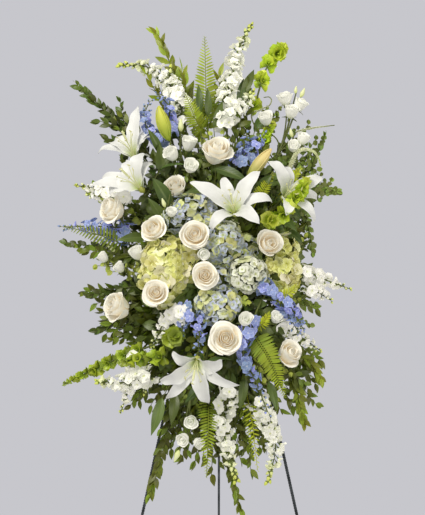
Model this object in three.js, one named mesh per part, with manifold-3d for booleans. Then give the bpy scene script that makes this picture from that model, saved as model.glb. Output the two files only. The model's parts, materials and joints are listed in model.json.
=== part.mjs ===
// A standing funeral spray: white, blue and green flowers in a caged block of wet foam, hung on a wire easel.
// Millimetres, +Z up. The viewer stands on the -Y side, and the origin is under the middle of the bounding box.
import * as THREE from 'three';
import { mergeVertices } from 'three/addons/utils/BufferGeometryUtils.js';
import Module from 'manifold-3d';

const wasm = await Module();
wasm.setup();

// The easel: two front legs that lean back and meet at a bracket, and a back leg that folds on the bracket's pin.
const LEAN = THREE.MathUtils.degToRad(10);
const BACK_LEG_ANGLE = THREE.MathUtils.degToRad(12);
const LEG_RADIUS = 4;
const LEG_TOP = { x: 13, up: 1440 };
const LEG_FOOT_X = 322;
const BACK_LEG_RADIUS = 3.2;
const BRACKET = { wide: 58, tall: 46, thick: 4, up: 1416 };
const EAR = { thick: 4, tall: 26, reach: 30 };
const PIN = { radius: 4.5, behind: 20, up: 1408 };
const EYE = { radius: 9.5, bore: 5, wide: 10 };

// The foam block and its plastic cage, measured up the leaning legs, and the hooks that hold the cage's tab.
const FOAM = { wide: 160, tall: 360, thick: 80 };
const FOAM_HEIGHT = 1190;
const TRAY = { back: 4.5, wall: 2.6, lip: 14 };
const STRAP = { width: 5, thick: 2.5, rows: [-48, 84], columns: [34] };
const TAB = { wide: 74, tall: 26 };
const HOOK = { radius: 2.8, reach: 17, rise: 12 };

const FIT_GAP = 0.3;
const STEM_CLEARANCE = 0.5;
const GOLDEN_ANGLE = 2.39996;

// Colours of the pieces.
const STEEL = { color: 0x24282a, roughness: 0.4, metalness: 0.7 };
const PLASTIC = { color: 0x2f5a3a, roughness: 0.5, metalness: 0 };
const FOAM_GREEN = { color: 0x3f6b3d, roughness: 0.95, metalness: 0 };
const IVORY = { color: 0xf3ecdd, roughness: 0.6, metalness: 0 };
const WHITE = { color: 0xf4f5f2, roughness: 0.55, metalness: 0 };
const LIME = { color: 0xdfe6a0, roughness: 0.6, metalness: 0 };
const PALE_BLUE = { color: 0xbfcbe2, roughness: 0.6, metalness: 0 };
const BLUE = { color: 0x7489d6, roughness: 0.55, metalness: 0 };
const BELL_GREEN = { color: 0x9dbb2b, roughness: 0.5, metalness: 0 };
const FERN_GREEN = { color: 0x7fa32c, roughness: 0.55, metalness: 0 };
const LEAF_GREEN = { color: 0x3c5a24, roughness: 0.4, metalness: 0 };

const point = (x, y, z) => new THREE.Vector3(x, y, z);
const easelPlane = (z) => z * Math.tan(LEAN);

// A place given as the photograph shows it: across from the easel's middle, height, and distance in front of its plane.
const spot = ([x, z, forward]) => point(x, easelPlane(z) - forward, z);

// A direction given in the same way: right, up and towards the viewer.
const heading = ([x, z, forward]) => point(x, -forward, z).normalize();

// Joins rings of points into one closed solid. A ring of one point is a tip, and a wider end is capped flat.
function loft(rings) {
  const points = rings.flat();
  const faces = [];
  let start = 0;
  rings.slice(0, -1).forEach((ring, k) => {
    const next = rings[k + 1];
    const a = (i) => start + (i % ring.length);
    const b = (i) => start + ring.length + (i % next.length);
    const sides = Math.max(ring.length, next.length);
    for (let i = 0; i < sides; i++) {
      if (ring.length === 1) faces.push(a(0), b(i + 1), b(i));
      else if (next.length === 1) faces.push(a(i), a(i + 1), b(0));
      else if (i % 2) faces.push(a(i), a(i + 1), b(i), a(i + 1), b(i + 1), b(i));
      else faces.push(a(i), a(i + 1), b(i + 1), a(i), b(i + 1), b(i));
    }
    start += ring.length;
  });
  for (let i = 1; i < rings[0].length - 1; i++) faces.push(0, i + 1, i);
  for (let i = 1; i < rings.at(-1).length - 1; i++) faces.push(start, start + i, start + i + 1);
  return closedSolid(points, faces);
}

function closedSolid(points, faces) {
  const build = (triVerts) => new wasm.Manifold(new wasm.Mesh({
    numProp: 3,
    vertProperties: new Float32Array(points.flatMap((p) => p.toArray())),
    triVerts: new Uint32Array(triVerts),
  }));
  const made = build(faces);
  return made.volume() < 0 ? build(faces.toReversed()) : made;
}

// A three.js geometry, moved by a matrix, as a solid.
function solidOf(geometry, matrix = new THREE.Matrix4()) {
  const bare = geometry.clone();
  bare.deleteAttribute('normal');
  bare.deleteAttribute('uv');
  const merged = mergeVertices(bare.applyMatrix4(matrix), 1e-4);
  const position = merged.getAttribute('position');
  const points = Array.from({ length: position.count }, (_, i) => point().fromBufferAttribute(position, i));
  return closedSolid(points, Array.from(merged.index.array));
}

const joined = (solids) => wasm.Manifold.union(solids);

function geometryOf(solid) {
  const { vertProperties, triVerts } = solid.getMesh();
  const geometry = new THREE.BufferGeometry();
  geometry.setAttribute('position', new THREE.BufferAttribute(new Float32Array(vertProperties), 3));
  geometry.setIndex(new THREE.BufferAttribute(new Uint32Array(triVerts), 1));
  geometry.computeVertexNormals();
  return geometry;
}

// Two unit vectors across a direction: one to its side and one towards the viewer.
function across(along) {
  const front = point(0, -1, 0).addScaledVector(along, along.y);
  if (front.lengthSq() < 0.01) front.set(0, 0, 1).addScaledVector(along, -along.z);
  front.normalize();
  return { side: point().crossVectors(front, along).normalize(), front };
}

const ringAt = (centre, u, v, radii, turn = 0) => radii.map((r, i) => {
  const angle = turn + (2 * Math.PI * i) / radii.length;
  return centre.clone().addScaledVector(u, r * Math.cos(angle)).addScaledVector(v, r * Math.sin(angle));
});

// The smooth line through places given by hand.
const lineThrough = (places) => new THREE.CatmullRomCurve3(places, false, 'catmullrom', 0.5);

// A stem's way from its cut end in the foam, which lies nearer the block's middle than the place that it leads to.
// Aside and up move the cut end by hand where two stems would meet.
function stemTo(start, { aside = 0, up = 0, deep = 42, via = [] } = {}) {
  const inFoam = [0.22 * start[0] + aside, FOAM_HEIGHT + 0.26 * (start[1] - FOAM_HEIGHT) + up, deep];
  return [inFoam, ...via, start].map(spot);
}

// A stem along a line, or along its first share of it, tapering from one radius to another.
function tube(line, [thick, thin], { sides = 3, steps = 3, extra = 0, share = 1 } = {}) {
  const rings = [];
  let previous = null;
  for (let k = 0; k <= steps; k++) {
    const at = (share * k) / steps;
    const along = line.getTangentAt(at);
    if (!previous) previous = across(along).front;
    const v = previous.clone().addScaledVector(along, -previous.dot(along)).normalize();
    const u = point().crossVectors(v, along).normalize();
    previous = v;
    const radius = THREE.MathUtils.lerp(thick, thin, k / steps) + extra;
    const end = k === 0 ? -extra : k === steps ? extra : 0;
    rings.push(ringAt(line.getPointAt(at).addScaledVector(along, end), u, v, Array(sides).fill(radius)));
  }
  return loft(rings);
}

// A leaf or petal. Its outline is pairs of share of length and half width; turn gives its slope along the length,
// and cup lifts its edges by that share of the half width. +Z of place runs along it and +Y is its upper face.
function blade(place, { length, outline, turn = () => 0, cup = 0, thick = 1.2 }) {
  const SLICES = 24;
  const spine = [point(0, 0, 0)];
  for (let k = 1; k <= SLICES; k++) {
    const slope = turn((k - 0.5) / SLICES);
    const step = point(0, Math.sin(slope), Math.cos(slope)).multiplyScalar(length / SLICES);
    spine.push(spine[k - 1].clone().add(step));
  }
  const rings = outline.map(([share, half]) => {
    const centre = spine[Math.round(share * SLICES)];
    const slope = turn(share);
    const normal = point(0, Math.cos(slope), -Math.sin(slope));
    if (half === 0) return [centre.clone()];
    const edge = (sign) => centre.clone().addScaledVector(normal, cup * half).add(point(sign * half, 0, 0));
    const face = (sign) => centre.clone().addScaledVector(normal, (sign * thick) / 2);
    return [edge(-1), face(1), edge(1), face(-1)];
  });
  return loft(rings.map((ring) => ring.map((p) => p.applyMatrix4(place))));
}

// A frame at a place, with +Z along a direction and +Y as near as it can be to a second one.
function frameAt(origin, along, upper) {
  const z = along.clone().normalize();
  const y = upper.clone().addScaledVector(z, -upper.dot(z)).normalize();
  const x = point().crossVectors(y, z);
  return new THREE.Matrix4().makeBasis(x, y, z).setPosition(origin);
}

// A frame for a bloom: +Z is where it faces, and roll turns it about that.
function facing(origin, direction, roll = 0) {
  const { front } = across(direction);
  return frameAt(origin, direction, front).multiply(new THREE.Matrix4().makeRotationZ(roll));
}

// A small open flower: pointed lobes round a raised eye, on a tapering throat that is rooted in its stem.
function floret(root, out, { size, lobes, depth, eye = 0.12, roll = 0 }) {
  const { side, front } = across(out);
  const centre = root.clone().addScaledVector(out, depth);
  const ring = (reach, turn) => ringAt(centre, side, front, Array(lobes).fill(reach), roll + turn);
  const points = [root, centre.clone().addScaledVector(out, eye * size), ...ring(size * 0.5, 0), ...ring(size, Math.PI / lobes)];
  const faces = [];
  for (let i = 0; i < lobes; i++) {
    const [notch, tip, next] = [2 + i, 2 + lobes + i, 2 + ((i + 1) % lobes)];
    faces.push(0, next, notch, notch, next, tip, 1, notch, tip, 1, tip, next);
  }
  return closedSolid(points, faces);
}

// A closed bud, pointed at both ends.
function bud(root, out, length, width, sides = 4) {
  const { side, front } = across(out);
  const middle = root.clone().addScaledVector(out, length * 0.55);
  return loft([[root], ringAt(middle, side, front, Array(sides).fill(width / 2)), [root.clone().addScaledVector(out, length)]]);
}

// The green cup of a bell of Ireland, or the bloom of a lisianthus: a funnel with a hollow face.
function cup(root, out, { size, deep, roll = 0 }) {
  const { side, front } = across(out);
  const level = (share) => root.clone().addScaledVector(out, deep * share);
  return loft([[root], ringAt(level(1), side, front, Array(5).fill(size), roll), [level(0.45)]]);
}

// A long leaf's outline, with its widest part below the middle.
const leafOutline = (half) => [[0, 0], [0.33, half], [0.71, half * 0.72], [1, 0]];

// Places along a stem in a spiral, each with its outward direction and its share of the way to the tip. They lie
// on the straight stretches that the stem is made of, so what grows there is rooted in it.
function spiral({ line, steps }, { from, count, to = 1 }) {
  return Array.from({ length: count }, (_, i) => {
    const share = (i + 0.5) / count;
    const at = from + (to - from) * share;
    const stretch = Math.min(steps - 1, Math.floor(at * steps));
    const root = line.getPointAt(stretch / steps).lerp(line.getPointAt((stretch + 1) / steps), at * steps - stretch);
    const along = line.getTangentAt(at);
    const { side, front } = across(along);
    const angle = i * GOLDEN_ANGLE;
    const out = side.multiplyScalar(Math.cos(angle)).addScaledVector(front, Math.sin(angle));
    return { root, out, along, share, turn: i };
  });
}

const between = (out, along, lean) => out.clone().addScaledVector(along, lean).normalize();

// A rose: three layers of five petals, each layer's rim standing out of a groove, on a stem.
function rose({ at, face, width, root }) {
  const direction = heading(face);
  const centre = spot(at);
  const place = facing(centre, direction, at[0]);
  const LOBES = 5;
  const LEVELS = [
    { radius: 0.4, height: -0.12, lobe: 0.05, turn: 0 },
    { radius: 0.46, height: 0, lobe: 0.1, turn: 0 },
    { radius: 0.34, height: -0.05, lobe: 0.05, turn: 0 },
    { radius: 0.34, height: 0.13, lobe: 0.09, turn: 0.5 },
    { radius: 0.23, height: 0.03, lobe: 0.05, turn: 0.5 },
    { radius: 0.2, height: 0.18, lobe: 0.1, turn: 1 },
  ];
  const rings = LEVELS.map(({ radius, height, lobe, turn }) => Array.from({ length: 2 * LOBES }, (_, i) => {
    const angle = (Math.PI * (i + turn)) / LOBES;
    const reach = radius * (1 + (i % 2 ? -lobe : lobe));
    return point(reach * Math.cos(angle), reach * Math.sin(angle), height).multiplyScalar(width).applyMatrix4(place);
  }));
  const tip = (height) => [point(0, 0, height * width).applyMatrix4(place)];
  const bloom = loft([tip(-0.36), ...rings, tip(0.07)]);
  const below = (share) => centre.clone().addScaledVector(direction, -share * width);
  const [cutEnd, ...way] = stemTo(at, root);
  const line = lineThrough([cutEnd, ...way.slice(0, -1), below(0.7), below(0.3)]);
  return { line, steps: 2, radii: [2.8, 2.8], core: [bloom], loose: [] };
}

const STEM_STEPS = 4;
const SHOOT_STEPS = 3;

// The lines of a stem that forks where it ends: the first way carries on the stem itself, and the others grow from
// the nearest joint between two of its stretches. Each line comes with the share of it that lies before the fork.
function forked(stem, ways, steps = STEM_STEPS) {
  const [way, ...sideWays] = ways;
  const line = lineThrough([...stem, ...way]);
  const fork = lineThrough(stem).getLength() / line.getLength();
  const joint = line.getPointAt(Math.round(fork * steps) / steps);
  return [
    { line, steps, on: (share) => fork + (1 - fork) * share },
    ...sideWays.map((side) => ({ line: lineThrough([joint, ...side]), steps: SHOOT_STEPS, on: (share) => share })),
  ];
}

const branching = ({ start, root, branches }) => forked(stemTo(start, root), branches.map(({ way }) => way.map(spot)));

// The slope of a lily petal along its length: out of the throat, then flaring and rolling back.
const lilySlope = (open) => (t) => -open * (0.15 + 0.5 * t + 1.2 * t * t);

// A lily: six petals, three of its stamens and the pistil on a throat that tapers to the stem.
function lilyBloom({ at, face, reach, roll = 0 }) {
  const direction = heading(face);
  const base = spot(at);
  const place = facing(base, direction, roll);
  const level = (share) => base.clone().addScaledVector(direction, share * reach);
  const { side, front } = across(direction);
  const ring = (share, r, sides) => ringAt(level(share), side, front, Array(sides).fill(r));
  const around = (angle) => point(Math.cos(angle), Math.sin(angle), 0).transformDirection(place);
  const petals = Array.from({ length: 6 }, (_, i) => (scale) => {
    const inner = i % 2;
    const out = around((Math.PI * i) / 3);
    const root = base.clone().addScaledVector(out, inner ? 5.5 : 6).addScaledVector(direction, inner ? 2 : -5);
    const frame = frameAt(root, direction.clone().addScaledVector(out, 0.3), direction.clone().addScaledVector(out, -3));
    const half = (inner ? 0.2 : 0.16) * reach;
    const outline = [[0, 2.4], [0.42, half * 0.8], [0.75, half * 0.85], [1, 0]];
    return blade(frame, { length: reach * scale, outline, turn: lilySlope(inner ? 1 : 1.2), cup: 0.2, thick: 1.5 });
  });
  const stamens = Array.from({ length: 3 }, (_, i) => (scale) => {
    const out = around((2 * Math.PI * (i + 0.25)) / 3);
    const foot = ring(0.03, 1.6, 3).map((p) => p.addScaledVector(out, 3.5));
    return loft([foot, [level(0.66 * scale).addScaledVector(out, 0.17 * reach * scale)]]);
  });
  const throat = loft([[level(-0.16)], ring(-0.07, 7.5, 6), ring(0.06, 9, 6), [level(0.09)]]);
  const pistil = loft([ring(0.05, 2, 3), ring(0.72, 2.4, 3), [level(0.76)]]);
  return { base: level(-0.13), direction, core: [throat, pistil], petals: [...petals, ...stamens] };
}

// A closed lily bud, long and five-sided.
function lilyBud({ at, face, length, width }) {
  const direction = heading(face);
  const base = spot(at);
  const { side, front } = across(direction);
  const level = (share) => base.clone().addScaledVector(direction, share * length);
  const ring = (share, r) => ringAt(level(share), side, front, Array(5).fill(r * width));
  return loft([[level(-0.04)], ring(0.15, 0.25), ring(0.45, 0.5), ring(0.78, 0.34), [level(1)]]);
}

const LILY_STEPS = 3;

// A stem that carries lily blooms, buds and long leaves on side shoots.
function lily({ start, root, blooms, buds = [], leaves = [] }) {
  const core = [];
  const loose = [];
  const ends = [];
  for (const bloom of blooms) {
    const made = lilyBloom(bloom);
    core.push(...made.core);
    loose.push(...made.petals);
    ends.push([made.base.clone().addScaledVector(made.direction, -14), made.base.addScaledVector(made.direction, 4)]);
  }
  for (const one of buds) {
    core.push(lilyBud(one));
    const direction = heading(one.face);
    ends.push([spot(one.at).addScaledVector(direction, -14), spot(one.at).addScaledVector(direction, 6)]);
  }
  const [{ line, steps }, ...shoots] = forked(stemTo(start, root), ends, LILY_STEPS);
  for (const { stretch, along, upper = [0, 0, 1], length, half } of leaves) {
    const foot = line.getPointAt(stretch / steps);
    loose.push((scale) => blade(frameAt(foot, heading(along), heading(upper)), {
      length: length * scale, outline: leafOutline(half), turn: (t) => -0.7 * t, cup: 0.35, thick: 1.4 }));
  }
  return {
    line,
    steps,
    radii: [3.6, 3],
    shoots: shoots.map((shoot) => shoot.line),
    shootRadius: 2.8,
    core,
    loose,
  };
}

// A hydrangea head: four-petalled florets standing out all over a core.
function hydrangea({ at, root, radii, florets, size }) {
  const centre = spot(at);
  const [rx, rz, deep] = radii;
  const place = new THREE.Matrix4().makeTranslation(centre.x, centre.y, centre.z);
  const stretched = (p) => point(p.x * rx, -p.z * deep, p.y * rz).applyMatrix4(place);
  const LEVELS = [-0.6, 0.15, 0.75];
  const SIDES = 6;
  const rings = LEVELS.map((z, k) => ringAt(point(0, 0, z), point(1, 0, 0), point(0, 1, 0), Array(SIDES).fill(Math.sqrt(1 - z * z)), k * 0.5));
  const core = loft([[point(0, 0, -1)], ...rings, [point(0, 0, 1)]].map((ring) => ring.map(stretched)));
  const parts = Array.from({ length: florets }, (_, i) => {
    const z = 1 - (1.62 * (i + 0.5)) / florets;
    const around = i * GOLDEN_ANGLE;
    const flat = Math.sqrt(1 - z * z);
    const unit = point(flat * Math.cos(around), flat * Math.sin(around), z);
    const surface = stretched(unit);
    const out = point(unit.x / rx, -unit.z / deep, unit.y / rz).normalize();
    const foot = surface.clone().addScaledVector(out, -0.8 * size);
    return (scale) => floret(foot, out, { size: size * scale, lobes: 4, depth: 1.2 * size, roll: i });
  });
  const [cutEnd, ...way] = stemTo(at, root);
  const inside = centre.clone().lerp(way.at(-2) ?? cutEnd, 0.1);
  const line = lineThrough([cutEnd, ...way.slice(0, -1), inside]);
  return { line, steps: way.length, radii: [3.6, 3.6], core: [core], loose: parts };
}

function stemAndShoots(lines, radius) {
  return {
    line: lines[0].line,
    radii: [radius, radius * 0.5],
    steps: STEM_STEPS,
    shoots: lines.slice(1).map(({ line }) => line),
    shootRadius: radius * 0.8,
    shootTip: radius * 0.5,
  };
}

// The numbers of each kind of flowering spike: open blooms and buds, and the blooms' size, depth and lean.
const SPIKES = {
  delphinium: { count: 6, buds: 2, size: 21, depth: 19, lobes: 5, budLength: 14, lean: 0.35 },
  snapdragon: { count: 6, buds: 3, size: 17, depth: 22, lobes: 4, budLength: 18, lean: 0.7 },
  stock: { count: 6, buds: 2, size: 21, depth: 19, lobes: 4, budLength: 14, lean: 0.45 },
};

// One or more flowering spikes of a kind on one stem: blooms in a spiral that shrink to buds at the tip.
function spray(kind, { start, root, branches }) {
  const lines = branching({ start, root, branches });
  const loose = branches.flatMap(({ way, ...own }, k) => {
    const { on } = lines[k];
    const { count, buds, size, depth, lobes, budLength, lean, from = 0.05 } = { ...SPIKES[kind], ...own };
    const openEnd = buds ? 0.76 : 1;
    const open = spiral(lines[k], { from: on(from), count, to: on(openEnd) }).map((place) => (scale) => {
      const grown = scale * (1 - 0.35 * place.share);
      return floret(place.root, between(place.out, place.along, lean), {
        size: size * grown, depth: depth * grown, lobes, roll: place.turn });
    });
    const closed = spiral(lines[k], { from: on(openEnd), count: buds, to: on(0.99) }).map((place) => (scale) => {
      const long = scale * budLength * (1.2 - 0.5 * place.share);
      return bud(place.root, between(place.out, place.along, 1.1), long, budLength * 0.55, 3);
    });
    return [...open, ...closed];
  });
  return { ...stemAndShoots(lines, 2.6), core: [], loose };
}

// Bells of Ireland: green cups in a spiral up each stem, small and crowded at the tip.
function bells({ start, root, branches }) {
  const lines = branching({ start, root, branches });
  const loose = branches.flatMap(({ count, size, from = 0.2 }, k) => {
    const { on } = lines[k];
    return spiral(lines[k], { from: on(from), count, to: on(0.99) }).map(({ root: foot, out, along, share }) => (scale) => {
      const grown = scale * size * (1.1 - 0.6 * share);
      return cup(foot, between(out, along, 0.4 + share), { size: grown, deep: 1.1 * grown });
    });
  });
  return { ...stemAndShoots(lines, 2.8), core: [], loose };
}

// A fern frond or a leafy shoot: one arched blade, ridged along its rib, whose edge is cut to the rib into leaflets.
// Sweep slants the leaflets towards the tip, and taper shortens them there.
function frond({ line, on, from = 0.06, leaflets, half, sweep, taper, arch }) {
  const rings = [];
  const RIB = 1.4;
  for (let k = 0; k < 2 * leaflets; k++) {
    const share = k / (2 * leaflets);
    const at = on(from + (1 - from) * share);
    const along = line.getTangentAt(at);
    const { side, front } = across(along);
    const envelope = Math.min(1, 0.55 + 2.4 * share) * Math.pow(1 - share, taper);
    const wide = k % 2 ? half * envelope + RIB : RIB;
    const middle = line.getPointAt(at);
    const edge = (sign) => middle.clone().addScaledVector(side, sign * wide)
      .addScaledVector(along, k % 2 ? wide * sweep : 0).addScaledVector(front, -arch * wide - RIB / 2);
    rings.push([edge(-1), middle.clone().addScaledVector(front, RIB / 2), edge(1)]);
  }
  return loft([...rings, [line.getPointAt(1)]]);
}

// Stems that end a little way up their fronds.
function frondStems(lines, radius, from) {
  const [{ line, steps, on }, ...others] = lines;
  return {
    line,
    steps,
    radii: [radius, radius * 0.8],
    until: on(from + 0.05),
    shoots: others.map((one) => one.line),
    shootRadius: radius * 0.8,
    shootUntil: from + 0.05,
    loose: [],
  };
}

function fern({ start, root, fronds }) {
  const lines = branching({ start, root, branches: fronds });
  const core = fronds.map(({ leaflets, half }, k) => frond({ ...lines[k], leaflets, half, sweep: 0.3, taper: 0.75, arch: 0.12 }));
  return { ...frondStems(lines, 2, 0.06), core };
}

const LISIANTHUS_STEPS = 4;

// Lisianthus: thin stems that fork to cup-shaped blooms and long buds.
function lisianthus({ start, root, blooms, buds = [] }) {
  const core = [];
  const ends = [];
  for (const { at, face, size } of blooms) {
    const direction = heading(face);
    const foot = spot(at).addScaledVector(direction, -0.6 * size);
    core.push(cup(foot, direction, { size, deep: 1.25 * size, roll: at[0] }));
    ends.push([foot.clone().addScaledVector(direction, -0.6 * size), foot.addScaledVector(direction, 3)]);
  }
  for (const { at, face, length } of buds) {
    const direction = heading(face);
    const foot = spot(at);
    core.push(bud(foot.clone().addScaledVector(direction, -2), direction, length, length * 0.5));
    ends.push([foot.clone().addScaledVector(direction, -10), foot.addScaledVector(direction, 2)]);
  }
  const [{ line, steps }, ...shoots] = forked(stemTo(start, root), ends, LISIANTHUS_STEPS);
  return {
    line,
    steps,
    radii: [2.2, 1.6],
    shoots: shoots.map((shoot) => shoot.line),
    shootRadius: 1.6,
    core,
    loose: [],
  };
}

// Veronica: narrow tapering spikes with a knobbly skin.
function veronica({ start, root, branches }) {
  const lines = branching({ start, root, branches });
  const KNOBS = 7;
  const core = lines.map(({ line, on }) => {
    const rings = Array.from({ length: KNOBS }, (_, k) => {
      const at = on(0.45 + (0.55 * k) / KNOBS);
      const { side, front } = across(line.getTangentAt(at));
      const radius = (1.2 + 5 * Math.sin(Math.PI * (0.15 + (0.85 * k) / KNOBS))) * (k % 2 ? 1.15 : 0.8);
      return ringAt(line.getPointAt(at), side, front, Array(4).fill(radius), k * 0.4);
    });
    return loft([[line.getPointAt(on(0.42))], ...rings, [line.getPointAt(1)]]);
  });
  const { line, on } = lines[0];
  return { line, radii: [1.8, 1.5], steps: 4, until: on(0.5), shoots: lines.slice(1).map((one) => one.line), shootRadius: 1.5, shootUntil: 0.5, core, loose: [] };
}

// A leafy branch: shoots whose leaves stand in pairs, slanting to the tip.
function foliage({ start, root, branches, half }) {
  const lines = branching({ start, root, branches });
  const core = branches.map(({ pairs }, k) => frond({ ...lines[k], leaflets: pairs, half, sweep: 0.75, taper: 0.35, arch: 0.25 }));
  return { ...frondStems(lines, 2, 0.06), core };
}

// The flowers and leaves, each at its place in the spray. A piece that comes first keeps all its petals, and
// what comes later leaves out the repeats that would touch it.
const BELL = 17;

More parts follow.
